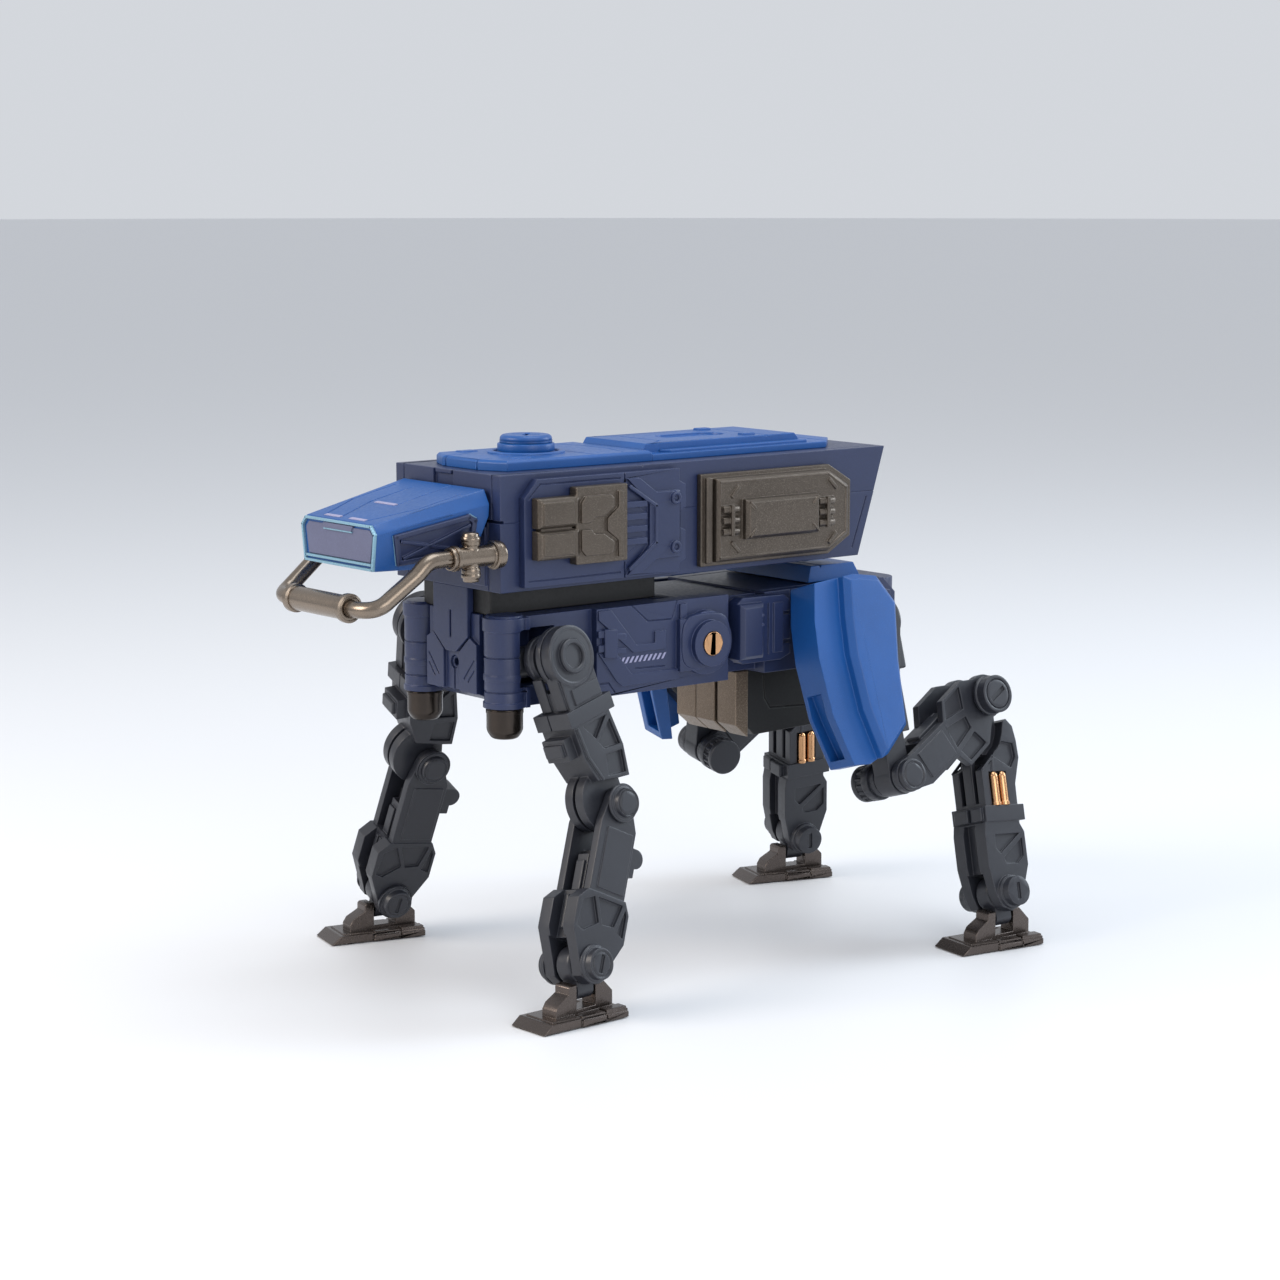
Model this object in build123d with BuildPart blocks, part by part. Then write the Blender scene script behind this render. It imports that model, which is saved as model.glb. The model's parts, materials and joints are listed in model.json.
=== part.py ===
"""Posable four-legged robot dog, millimetres.

Frame: +X forward (head), +Y the dog's left, +Z up, soles on Z = 0.
Every leg is built link by link in its own local frame (origin at the upper joint, -Z down the
link, +Y outward) and then placed by the stance solver below.
"""
import math
import os

from build123d import *

# ------------------------------------------------------------------ driving dimensions
ORIGIN = (10.174, 0.439, 0.0)      # drafting-frame point that becomes the part's origin

HULL_HALF_WIDTH = 17.1
HULL_TOP = 101.6
HULL_BOTTOM = 79.4
HULL_SPLIT = 92.8
HULL_FRONT = 56.4
WALL = 1.8

CHEST_TOP = 74.3
CHEST_BOTTOM = 57.0
CHEST_HALF_WIDTH = 17.1

WAIST = (6.6, 65.4)              # waist axis, X and Z
HEAD_AXIS = (60.8, 94.2)         # head tilt axis, X and Z
KNOB_CENTRE = (37.5, 0.0)        # turret knob axis, X and Y

FRONT_PIVOT = (47.6, 13.0, 65.05)     # front-left splay pivot
FRONT_OFFSET = 8.4                   # splay pivot to the plane of the leg
UPPER_ARM = 30.0
FOREARM = 31.5

REAR_PIVOT = (-30.5, 13.0, 63.1)     # rear-left splay pivot
REAR_OFFSET = 13.0
THIGH = 32.2
SHANK = 28.0
METATARSUS = 40.6
THIGH_SWING = -0.5                   # degrees the thighs stand behind the vertical

ROLL_HEIGHT = 5.8                    # foot roll axis above the sole
ROLL_DROP = 4.6                      # foot roll axis below the ankle axis

# stance of each leg: side, foot roll point (X, Y), heading of the leg and of the sole, degrees
STANCES = {
    "front_left": (1, 51.4, 34.3, 7.0, 2.4),
    "front_right": (-1, 44.2, -42.4, -8.0, -13.6),
    "rear_left": (1, -50.4, 44.2, -1.5, -7.8),
    "rear_right": (-1, -58.4, -28.8, -10.0, -16.5),
}

PIN = 1.4                        # knee and hock pin radius
ANKLE_PIN = 1.2
ROLL_PIN = 0.9
RUN = 0.05                       # running fit, radial

TO_ORIGIN = Location((-ORIGIN[0], -ORIGIN[1], -ORIGIN[2]))

os.makedirs("parts", exist_ok=True)


# ------------------------------------------------------------------ small builders
def block(x, y, z, mode=Mode.ADD):
    """Box between pairs of coordinates."""
    with Locations(((x[0] + x[1]) / 2, (y[0] + y[1]) / 2, (z[0] + z[1]) / 2)):
        Box(x[1] - x[0], y[1] - y[0], z[1] - z[0], mode=mode)


def rod_x(y, z, radius, x, mode=Mode.ADD):
    """Cylinder along X."""
    with Locations(Location(((x[0] + x[1]) / 2, y, z), (0, 90, 0))):
        Cylinder(radius, x[1] - x[0], mode=mode)


def rod_y(x, z, radius, y, mode=Mode.ADD):
    """Cylinder along Y."""
    with Locations(Location((x, (y[0] + y[1]) / 2, z), (90, 0, 0))):
        Cylinder(radius, y[1] - y[0], mode=mode)


def rod_z(x, y, radius, z, mode=Mode.ADD):
    """Cylinder along Z."""
    with Locations((x, y, (z[0] + z[1]) / 2)):
        Cylinder(radius, z[1] - z[0], mode=mode)


def slab_y(points, y, mode=Mode.ADD):
    """X-Z outline carried from y[0] to y[1]."""
    with BuildSketch(Plane.XZ.offset(-y[1])) as profile:
        with BuildLine():
            Polyline(*points, close=True)
        make_face()
    extrude(profile.sketch, amount=y[1] - y[0], mode=mode)


def slab_x(points, x, mode=Mode.ADD):
    """Y-Z outline carried from x[0] to x[1]."""
    with BuildSketch(Plane.YZ.offset(x[0])) as profile:
        with BuildLine():
            Polyline(*points, close=True)
        make_face()
    extrude(profile.sketch, amount=x[1] - x[0], mode=mode)


def slab_z(points, z, mode=Mode.ADD):
    """X-Y outline carried from z[0] to z[1]."""
    with BuildSketch(Plane.XY.offset(z[0])) as profile:
        with BuildLine():
            Polyline(*points, close=True)
        make_face()
    extrude(profile.sketch, amount=z[1] - z[0], mode=mode)


def save(shape, label):
    """Label a finished piece, carry it to the part's origin and write it."""
    piece = shape.moved(TO_ORIGIN)
    piece.label = label
    export_step(piece, "parts/" + label + ".step")


def flip(shape):
    """The right-hand twin of a left-hand shape."""
    return mirror(shape, about=Plane.XZ)


# ------------------------------------------------------------------ stance solver
def frame_at(base, u, w, v, swing=0.0):
    """Frame inside a leg plane: u forward, w along Y, v up, link leaning forward by swing."""
    return base * Location((u, w, v), (0, -swing, 0))


def lean(u, v):
    """Angle of a downward link from the vertical, degrees, forward positive."""
    return math.degrees(math.atan2(u, -v))


def solve(name):
    """Place every link of one leg so that its sole lies flat at the stance point."""
    side, foot_x, foot_y, yaw, sole_yaw = STANCES[name]
    front = name.startswith("front")
    pivot = FRONT_PIVOT if front else REAR_PIVOT
    offset = FRONT_OFFSET if front else REAR_OFFSET
    heading = math.radians(yaw)
    dx = foot_x - pivot[0]
    dy = foot_y - side * pivot[1]
    ahead = dx * math.cos(heading) + dy * math.sin(heading)
    out = side * (dy * math.cos(heading) - dx * math.sin(heading))
    down = pivot[2] - ROLL_HEIGHT
    reach = math.hypot(out, down)
    splay = math.degrees(math.atan2(out, down) - math.asin(offset / reach))
    foot_v = -math.sqrt(reach ** 2 - offset ** 2)
    ankle_v = foot_v + ROLL_DROP
    first = UPPER_ARM
    start_u = 0.0
    start_v = 0.0
    second = FOREARM
    if not front:
        first = SHANK
        second = METATARSUS
        start_u = -THIGH * math.sin(math.radians(THIGH_SWING))
        start_v = -THIGH * math.cos(math.radians(THIGH_SWING))
    run_u = ahead - start_u
    run_v = ankle_v - start_v
    span = math.hypot(run_u, run_v)
    corner = math.acos((first ** 2 + span ** 2 - second ** 2) / (2 * first * span))
    first_lean = lean(run_u, run_v) - math.degrees(corner)
    mid_u = start_u + first * math.sin(math.radians(first_lean))
    mid_v = start_v - first * math.cos(math.radians(first_lean))
    second_lean = lean(ahead - mid_u, ankle_v - mid_v)
    mount = Location((pivot[0], side * pivot[1], pivot[2]), (0, 0, yaw))
    base = mount * Location((0, 0, 0), (side * splay, 0, 0))
    w = side * offset
    frames = {"mount": mount, "pivot": base}
    if front:
        frames["upper_arm"] = frame_at(base, 0, w, 0, first_lean)
        frames["forearm"] = frame_at(base, mid_u, w, mid_v, second_lean)
    else:
        frames["thigh"] = frame_at(base, 0, w, 0, -THIGH_SWING)
        frames["shank"] = frame_at(base, start_u, w, start_v, first_lean)
        frames["metatarsus"] = frame_at(base, mid_u, w, mid_v, second_lean)
    frames["knuckle"] = frame_at(base, ahead, w, ankle_v)
    frames["foot"] = Location((foot_x, foot_y, 0), (0, 0, yaw))
    frames["sole_turn"] = sole_yaw - yaw
    return frames


# ------------------------------------------------------------------ hull
hull_lower_side = [(-35.1, HULL_BOTTOM), (HULL_FRONT, HULL_BOTTOM), (HULL_FRONT, HULL_SPLIT - 0.25),
                   (-39.4, HULL_SPLIT - 0.25)]
hull_upper_side = [(-39.4, HULL_SPLIT - 0.25), (HULL_FRONT - 0.8, HULL_SPLIT - 0.25),
                   (HULL_FRONT - 0.8, HULL_SPLIT + 0.25), (HULL_FRONT, HULL_SPLIT + 0.25),
                   (HULL_FRONT, HULL_TOP), (-42.2, HULL_TOP), (-39.5, HULL_SPLIT + 0.25)]

with BuildPart() as hull_lower:
    slab_y(hull_lower_side, (-HULL_HALF_WIDTH, HULL_HALF_WIDTH))
    block((-33, HULL_FRONT - WALL), (-15.3, 15.3), (HULL_BOTTOM + WALL, HULL_SPLIT), mode=Mode.SUBTRACT)
    # lug that carries the head on its tilt axis
    with BuildSketch(Plane.XZ.offset(-3.6)):
        with BuildLine():
            Polyline((HULL_FRONT - 0.5, 86.5), (HULL_FRONT + 0.6, 86.5), (62.0, 92.6), (61.0, 95.9),
                     (HULL_FRONT - 0.5, 92.5), close=True)
        make_face()
    extrude(amount=7.2)
    rod_y(HEAD_AXIS[0], HEAD_AXIS[1], 1.9, (-3.6, 3.6))
    rod_y(HEAD_AXIS[0], HEAD_AXIS[1], 1.0 + RUN, (-4, 4), mode=Mode.SUBTRACT)
save(hull_lower.part, "hull_lower_shell")

with BuildPart() as hull_upper:
    slab_y(hull_upper_side, (-HULL_HALF_WIDTH, HULL_HALF_WIDTH))
    block((-33, HULL_FRONT - 3), (-15.3, 15.3), (HULL_SPLIT - 1, HULL_TOP - WALL), mode=Mode.SUBTRACT)
    for y in (-4.2, 1.6):
        block((HULL_FRONT - 0.8, HULL_FRONT + 1), (y - 0.35, y + 0.35), (90, 104), mode=Mode.SUBTRACT)
    block((HULL_FRONT - 0.6, HULL_FRONT + 1), (-4.2, 1.6), (90, HULL_TOP - 0.8), mode=Mode.SUBTRACT)
save(hull_upper.part, "hull_upper_shell")

with BuildPart() as top_plate_front:
    slab_z([(53.2, -6.0), (53.2, 6.0), (50.6, 11.6), (16.0, 12.6), (16.0, -12.6), (50.6, -11.6)],
           (HULL_TOP, HULL_TOP + 2.1))
    rod_z(KNOB_CENTRE[0], KNOB_CENTRE[1], 1.5 + RUN, (HULL_TOP - 1, HULL_TOP + 3), mode=Mode.SUBTRACT)
    chamfer(top_plate_front.faces().sort_by(Axis.Z)[-1].outer_wire().edges(), 0.5)
save(top_plate_front.part, "top_plate_front")

with BuildPart() as turret_knob:
    rod_z(KNOB_CENTRE[0], KNOB_CENTRE[1], 5.6, (HULL_TOP + 2.45, HULL_TOP + 4.0))
    rod_z(KNOB_CENTRE[0], KNOB_CENTRE[1], 5.1, (HULL_TOP + 4.0, HULL_TOP + 5.65))
    chamfer(turret_knob.faces().sort_by(Axis.Z)[-1].edges(), 0.5)
    rod_z(KNOB_CENTRE[0], KNOB_CENTRE[1], 1.5, (HULL_TOP + 0.3, HULL_TOP + 2.6))
    for angle in (0, 90):
        with Locations(Location((KNOB_CENTRE[0], KNOB_CENTRE[1], HULL_TOP + 5.5), (0, 0, angle + 45))):
            Box(5.6, 0.9, 1.0, mode=Mode.SUBTRACT)
save(turret_knob.part, "turret_knob")

with BuildPart() as top_plate_rear:
    slab_y([(17.6, HULL_TOP), (15.2, 104.8), (-24.0, 104.8), (-27.0, HULL_TOP)], (-9.6, 9.6))
    slab_z([(16.0, -12.6), (16.0, 12.6), (-30.0, 12.6), (-36.5, 6.0), (-36.5, -6.0), (-30.0, -12.6)],
           (HULL_TOP, HULL_TOP + 1.3))
    block((17.5, 19), (-13, 13), (HULL_TOP - 1, 106), mode=Mode.SUBTRACT)
    block((16, 19), (-13, 13), (HULL_TOP - 1, 106), mode=Mode.SUBTRACT)
    with BuildSketch(Plane.XY.offset(104.8)):
        with Locations((-4.0, 0)):
            SlotOverall(16, 7)
    extrude(amount=-0.5, mode=Mode.SUBTRACT)
save(top_plate_rear.part, "top_plate_rear")

# ------------------------------------------------------------------ hull sides
side_face = HULL_HALF_WIDTH
with BuildPart() as sponson:
    slab_y([(52.0, 97.2), (48.8, 100.6), (14.2, 100.6), (14.2, 98.2), (12.6, 97.4), (12.6, 93.0),
            (14.2, 92.2), (14.2, 89.2), (12.6, 88.4), (12.6, 82.8), (14.2, 81.9), (14.2, 80.2),
            (52.0, 80.2)], (side_face, side_face + 1.7))
    # vee bracket and the two bolt eyes behind the cooling fins
    slab_y([(27.6, 99.4), (24.6, 99.4), (20.4, 96.4), (14.6, 96.4), (14.6, 83.4), (20.4, 83.4),
            (24.6, 80.8), (27.6, 80.8), (22.2, 86.2), (22.2, 94.2)], (side_face + 1.7, side_face + 2.4))
    for z in (95.0, 85.4):
        rod_y(15.9, z, 1.2, (side_face + 2.4, side_face + 2.9))
        rod_y(15.9, z, 0.6, (side_face + 2.6, side_face + 3.2), mode=Mode.SUBTRACT)
    for index in range(4):
        z = 86.6 + 2.4 * index
        block((23.0, 28.4), (side_face + 1.7, side_face + 2.6), (z, z + 1.2))
save(sponson.part, "sponson_left")
save(flip(sponson.part), "sponson_right")

with BuildPart() as side_module:
    block((40.6, 50.4), (side_face + 1.7, side_face + 4.3), (91.4, 97.2))
    block((40.6, 50.4), (side_face + 1.7, side_face + 4.3), (85.4, 91.0))
    chamfer(side_module.faces().sort_by(Axis.Y)[-2:].edges(), 0.6)
    block((42.0, 49.4), (side_face + 1.7, side_face + 3.4), (90.6, 91.6))
    block((29.0, 41.4), (side_face + 1.7, side_face + 4.0), (84.0, 98.8))
save(side_module.part, "side_module_left")
save(flip(side_module.part), "side_module_right")

with BuildPart() as armour_box:
    slab_y([(8.4, 98.9), (-25.6, 98.9), (-31.6, 95.4), (-31.6, 84.0), (-25.6, 80.6), (8.4, 80.6)],
           (side_face, side_face + 1.3))
    slab_y([(5.4, 98.0), (-24.4, 98.0), (-29.8, 94.6), (-29.8, 84.6), (-24.4, 81.4), (5.4, 81.4)],
           (side_face + 1.3, side_face + 2.9))
    chamfer(armour_box.faces().sort_by(Axis.Y)[-1].edges(), 0.5)
    for z in (87.4, 89.6, 91.8):
        for x in (0.3, -25.2):
            rod_x(side_face + 3.1, z, 0.8, (x, x + 4.2))
    for x, z, turn in ((1.0, 95.2, 45), (1.0, 84.2, -45), (-25.0, 95.2, -45), (-25.0, 84.2, 45)):
        with Locations(Location((x, side_face + 3.0, z), (0, turn, 0))):
            Box(3.0, 0.8, 0.8)
    # raised blank plate
    slab_y([(-1.0, 93.6), (-20.6, 93.6), (-20.6, 85.6), (-1.0, 85.6)], (side_face + 2.9, side_face + 4.6))
    chamfer(armour_box.faces().sort_by(Axis.Y)[-1].edges(), 0.7)
save(armour_box.part, "armour_box_left")
save(flip(armour_box.part), "armour_box_right")

# ------------------------------------------------------------------ head
with BuildPart() as head_shell:
    with BuildSketch(Plane.YZ.offset(81.0)):
        with BuildLine():
            Polyline((-11.5, 85.0), (11.5, 85.0), (12.5, 91.9), (11.2, 93.7), (-11.2, 93.7), (-12.5, 91.9),
                     close=True)
        make_face()
    with BuildSketch(Plane.YZ.offset(57.2)):
        with BuildLine():
            Polyline((-13.6, 84.6), (13.6, 84.6), (14.8, 96.2), (13.2, 98.9), (-13.2, 98.9), (-14.8, 96.2),
                     close=True)
        make_face()
    loft()
    slab_y([(57.0, 94.5), (60.9, 84.0), (56.0, 84.0), (56.0, 94.5)], (-16, 16), mode=Mode.SUBTRACT)
    # pocket over the hull lug, and the tilt pin across it
    block((56, 65.2), (-3.95, 3.95), (83.5, 96.6), mode=Mode.SUBTRACT)
    rod_y(HEAD_AXIS[0], HEAD_AXIS[1], 1.0, (-8, 8))
    # seat for the visor
    block((79.6, 82), (-10.2, 10.2), (86.2, 92.4), mode=Mode.SUBTRACT)
save(head_shell.part, "head_shell")

with BuildPart() as visor:
    block((79.6, 80.5), (-10.2, 10.2), (86.2, 92.4))
save(visor.part, "visor")

with BuildPart() as visor_trim:
    block((81.0, 81.5), (-11.0, 11.0), (85.4, 93.2))
    block((80.0, 82.0), (-9.8, 9.8), (86.7, 92.3), mode=Mode.SUBTRACT)
    block((81.0, 81.4), (-9.9, 9.9), (87.1, 87.5))
    block((81.0, 81.5), (-4.6, 4.6), (91.6, 92.4))
save(visor_trim.part, "visor_trim")

# ------------------------------------------------------------------ bull bar
BAR_Y = 17.0
with BuildPart() as bull_bar:
    with BuildLine() as bar_path:
        straight = Line((66.0, BAR_Y, 86.9), (71.0, BAR_Y, 86.9))
        arm = Line((75.6, 16.8, 84.2), (81.6, 16.0, 79.8))
        Spline(straight @ 1, arm @ 0, tangents=(straight % 1, arm % 0))
        half_bar = Line((85.2, 11.0, 78.4), (85.2, 0.0, 78.4))
        Spline(arm @ 1, half_bar @ 0, tangents=(arm % 1, half_bar % 0))
        mirror(about=Plane.XZ)
    with BuildSketch(Plane((66.0, BAR_Y, 86.9), z_dir=(1, 0, 0))):
        Circle(1.55)
    sweep(path=bar_path.wires()[0])
save(bull_bar.part, "bull_bar_tube")

with BuildPart() as bar_roller:
    rod_y(85.2, 78.4, 2.3, (-9.6, 9.6))
    for y in (-1, 1):
        rod_y(85.2, 78.4, 2.6, (min(y * 8.4, y * 9.4), max(y * 8.4, y * 9.4)))
    rod_y(85.2, 78.4, 1.55, (-10, 10), mode=Mode.SUBTRACT)
save(bar_roller.part, "bull_bar_roller")

with BuildPart() as bar_fitting:
    rod_x(BAR_Y, 86.9, 2.6, (HULL_FRONT, 57.6))
    rod_x(BAR_Y, 86.9, 2.2, (57.6, 58.6))
    rod_x(BAR_Y, 86.9, 1.95, (58.6, 68.2))
    rod_x(BAR_Y, 86.9, 2.2, (67.2, 68.2))
    rod_z(63.2, BAR_Y, 1.5, (82.9, 91.1))
    rod_z(63.2, BAR_Y, 1.8, (83.5, 84.9))
    rod_z(63.2, BAR_Y, 1.8, (89.2, 90.5))
    rod_x(BAR_Y, 86.9, 1.56, (66.0, 69.0), mode=Mode.SUBTRACT)
save(bar_fitting.part, "bull_bar_fitting_left")
save(flip(bar_fitting.part), "bull_bar_fitting_right")

# ------------------------------------------------------------------ lower body, front half
left_front = solve("front_left")
right_front = solve("front_right")
left_rear = solve("rear_left")
right_rear = solve("rear_right")


def splay_pocket(mount, side):
    """Pocket in a body side for one splay knuckle, with its moulded axle."""
    with BuildPart(mode=Mode.PRIVATE) as pocket:
        with Locations((0, side * 1.7, 1.4)):
            Box(9.4, 11.6, 11.0)
    with BuildPart(mode=Mode.PRIVATE) as axle:
        rod_x(0, 0, 1.2, (-5.2, 5.2))
    return mount * pocket.part, mount * axle.part


with BuildPart() as chest_block:
    slab_y([(55.0, CHEST_BOTTOM + 1.8), (55.0, CHEST_TOP), (0.0, CHEST_TOP), (0.0, CHEST_BOTTOM),
            (51.0, CHEST_BOTTOM)], (-CHEST_HALF_WIDTH, CHEST_HALF_WIDTH))
    # recessed flanks behind the shoulders and the slot that takes the rear half
    for side in (-1, 1):
        with Locations((41.5, side * (15.4 + 3), 66)):
            Box(16.0, 6, 30, mode=Mode.SUBTRACT)
        with Locations((53.6, side * 15.2, 66)):
            Box(6, 14, 30, mode=Mode.SUBTRACT)
        rod_z(52.8, side * 13.2, 3.9, (CHEST_BOTTOM, CHEST_TOP - 2.6))
        rod_z(52.8, side * 13.2, 4.2, (CHEST_TOP - 2.6, CHEST_TOP))
        rod_z(52.8, side * 13.2, 4.05, (62.2, 63.4))
    block((-5, 16.1), (-12.9, 12.9), (50, 80), mode=Mode.SUBTRACT)
    # stepped bosses round the waist axle
    for inner, outer, radius in ((17.0, 18.4, 6.4), (18.4, 20.1, 4.6)):
        rod_y(WAIST[0], WAIST[1], radius, (inner, outer))
        rod_y(WAIST[0], WAIST[1], radius, (-outer, -inner))
    for side in (-1, 1):
        with Locations((10.1, side * 17.7, 65.4)):
            Box(7.0, 1.4, 10.4)
    rod_y(WAIST[0], WAIST[1], 2.0, (-30, 30), mode=Mode.SUBTRACT)
    for side in (-1, 1):
        rod_y(WAIST[0], WAIST[1], 2.45, (side * 24.8 - 5, side * 24.8 + 5), mode=Mode.SUBTRACT)
    # vee plates on the breast
    for side in (-1, 1):
        slab_x([(side * 8.2, 58.9), (side * 8.2, 68.4), (side * 6.0, 69.6), (side * 2.6, 66.6),
                (side * 2.6, 58.9)], (55.0, 55.8))
    rod_x(0, 64.2, 1.3, (53.0, 57.0), mode=Mode.SUBTRACT)

chest = chest_block.part
for frames, side in ((left_front, 1), (right_front, -1)):
    pocket, axle = splay_pocket(frames["mount"], side)
    chest = chest - pocket + axle
save(chest, "chest_block")

with BuildPart() as waist_axle:
    rod_y(WAIST[0], WAIST[1], 2.0, (-19.8, 19.8))
    for side in (-1, 1):
        rod_y(WAIST[0], WAIST[1], 2.4, (side * 20.1 - 0.3, side * 20.1 + 0.3))
        block((WAIST[0] - 0.25, WAIST[0] + 0.25), (side * 20.4 - 0.35, side * 20.4 + 0.35),
              (WAIST[1] - 2.1, WAIST[1] + 2.1), mode=Mode.SUBTRACT)
save(waist_axle.part, "waist_axle")

with BuildPart() as breast_plate:
    slab_x([(-5.6, 69.7), (-1.6, 66.4), (1.6, 66.4), (5.6, 69.7), (5.6, HULL_BOTTOM), (-5.6, HULL_BOTTOM)],
           (54.4, 56.0))
    block((50, 55.05), (-10, 10), (60, CHEST_TOP), mode=Mode.SUBTRACT)
save(breast_plate.part, "breast_plate")

with BuildPart() as neck_column:
    block((14.0, 54.4), (-11.0, 11.0), (CHEST_TOP, HULL_BOTTOM))
save(neck_column.part, "neck_column")

with BuildPart() as piston:
    with BuildSketch(Plane.XZ):
        with BuildLine():
            Polyline((0, CHEST_BOTTOM), (3.5, CHEST_BOTTOM), (3.5, 52.4), (2.5, 50.9), (0, 50.9), close=True)
        make_face()
    revolve(axis=Axis.Z)
save(piston.part.moved(Location((52.8, 13.2, 0))), "piston_left")
save(piston.part.moved(Location((52.8, -13.2, 0))), "piston_right")

# ------------------------------------------------------------------ lower body, rear half
with BuildPart() as rear_block:
    slab_y([(-11.0, 73.6), (-44.0, 73.9), (-47.4, 70.6), (-47.4, 60.0), (-44.0, CHEST_BOTTOM),
            (-11.0, CHEST_BOTTOM)], (-15.4, 15.4))
    rod_y(WAIST[0], WAIST[1], 8.0, (-12.5, 12.5))
    block((-12, WAIST[0]), (-12.5, 12.5), (CHEST_BOTTOM + 0.6, 73.2))
    rod_y(WAIST[0], WAIST[1], 2.0 + RUN, (-20, 20), mode=Mode.SUBTRACT)
    # rounded tail dome
    with BuildSketch(Plane.XY.offset(68.0)):
        with Locations((-45.0, 0)):
            SlotOverall(30.0, 9.0, rotation=90)
    extrude(amount=5.6)

rear = rear_block.part
for frames, side in ((left_rear, 1), (right_rear, -1)):
    pocket, axle = splay_pocket(frames["mount"], side)
    rear = rear - pocket + axle
save(rear, "rear_block")

with BuildPart() as rear_saddle:
    slab_y([(-25.0, 74.0), (-25.8, 77.4), (-37.6, 77.4), (-39.8, 74.0)], (-13.0, 13.0))
    block((-45, -20), (-14, 14), (70, 74.0), mode=Mode.SUBTRACT)
save(rear_saddle.part, "rear_saddle")

with BuildPart() as waist_arm:
    slab_y([(-1.4, 72.4), (-2.8, 73.4), (-14.0, 73.2), (-15.6, 71.8), (-15.6, 61.0), (-13.0, 60.0),
            (-2.8, 60.0), (-1.4, 61.0)], (15.4, 18.2))
    block((-10.8, -1.4), (12.6, 15.4), (61.0, 72.4))
    block((-7.6, -1.4), (18.2, 19.8), (61.0, 72.2))
    chamfer(waist_arm.faces().sort_by(Axis.Y)[-1].edges(), 0.8)
save(waist_arm.part, "waist_arm_left")
save(flip(waist_arm.part), "waist_arm_right")

with BuildPart() as belly_box:
    slab_y([(-12.0, CHEST_BOTTOM), (-12.0, 45.0), (-14.0, 43.0), (-32.0, 43.4), (-35.0, 47.0),
            (-35.0, CHEST_BOTTOM)], (-9.0, 9.0))
save(belly_box.part, "belly_box")

with BuildPart() as belly_plates:
    for y in ((-9.4, -3.4), (-3.2, 2.6), (3.6, 9.4)):
        slab_y([(-8.6, CHEST_BOTTOM - 0.3), (-8.6, 45.6), (-12.0, 42.8), (-12.0, CHEST_BOTTOM - 0.3)], y)
save(belly_plates.part, "belly_plates")


# ------------------------------------------------------------------ front legs
with BuildPart() as front_pivot:
    rod_x(0, 0, 3.1, (-4.3, 4.3))
    rod_y(0, 0, 2.9, (0, FRONT_OFFSET - 1.5))
    rod_y(0, 0, 2.4, (FRONT_OFFSET - 2, FRONT_OFFSET + 3.2))
    rod_x(0, 0, 1.2 + RUN, (-6, 6), mode=Mode.SUBTRACT)

with BuildPart() as upper_arm:
    rod_y(0, 0, 5.9, (0.6, 4.4))
    rod_y(0, 0, 4.7, (-1.1, 0.6))
    chamfer(upper_arm.faces().sort_by(Axis.Y)[0].edges(), 1.0)
    block((-4.6, 4.6), (0.6, 4.3), (-10.0, 0))
    block((-4.6, 4.6), (-3.2, 4.3), (-10.0, -5.6))
    rod_y(0, 0, 3.3, (4.4, 5.0))
    rod_y(0, 0, 2.3, (4.6, 5.2), mode=Mode.SUBTRACT)
    block((-6.2, 6.2), (-4.7, 4.8), (-12.6, -9.4))
    slab_y([(-4.8, -12.0), (5.4, -12.0), (5.2, -19.0), (3.6, -24.0), (-1.6, -25.4), (-4.6, -26.0),
            (-5.6, -20.0)], (-4.4, 4.4))
    block((5.0, 7.6), (-3.0, 3.0), (-18.4, -14.0))
    block((-3.4, 2.6), (-2.45, 2.45), (-UPPER_ARM, -24.0))
    rod_y(0, -UPPER_ARM, 3.6, (-2.45, 2.45))
    for y in ((-2.45, -0.35), (0.35, 2.45)):
        with BuildPart(mode=Mode.PRIVATE) as half_moon:
            rod_y(1.4, 1.6 - UPPER_ARM, 6.2, y)
            block((-7, 0.4), (-5, 5), (-UPPER_ARM - 7, -UPPER_ARM + 9), mode=Mode.SUBTRACT)
        add(half_moon.part)
    rod_y(0, -UPPER_ARM, PIN + RUN, (-6, 6), mode=Mode.SUBTRACT)
    rod_y(0, 0, 2.4 + RUN, (-2, 3.5), mode=Mode.SUBTRACT)


def ankle_fork(length, top, front, back):
    """Twin side plates round an ankle, with their web; ends a link of the given length."""
    slab_y([(-back + 1.4, top), (4.6, top), (front, top - 2.2), (front, -length + 5.6), (3.9, -length),
            (2.6, -length - 2.9), (0, -length - 3.9), (-2.6, -length - 2.9), (-3.9, -length),
            (-back, -length + 5.4), (-back, top - 2.4)], (-4.9, 4.9))
    block((-8, 8), (-2.4, 2.4), (-length - 6, -length + 4.1), mode=Mode.SUBTRACT)
    rod_y(0, -length, ANKLE_PIN, (-6, 6), mode=Mode.SUBTRACT)


with BuildPart() as forearm:
    for y in ((-4.6, -2.85), (2.85, 4.6)):
        rod_y(0, 0, 3.1, y)
        slab_y([(-3.1, 0), (3.1, 0), (4.1, -4.5), (4.1, -20.0), (-5.2, -20.0), (-5.2, -4.5)], y)
    block((-4.8, 0.6), (-2.85, 2.85), (-20.0, -9.2))
    block((0.6, 3.0), (-1.5, 1.5), (-20.0, -10.6))
    rod_y(-8.4, -8.6, 1.9, (-2.4, 2.4))
    block((-8.4, -4.6), (-2.4, 2.4), (-12.4, -6.7))
    rod_y(0, 0, PIN, (-6, 6), mode=Mode.SUBTRACT)
    ankle_fork(FOREARM, -18.0, 6.8, 6.8)

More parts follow.
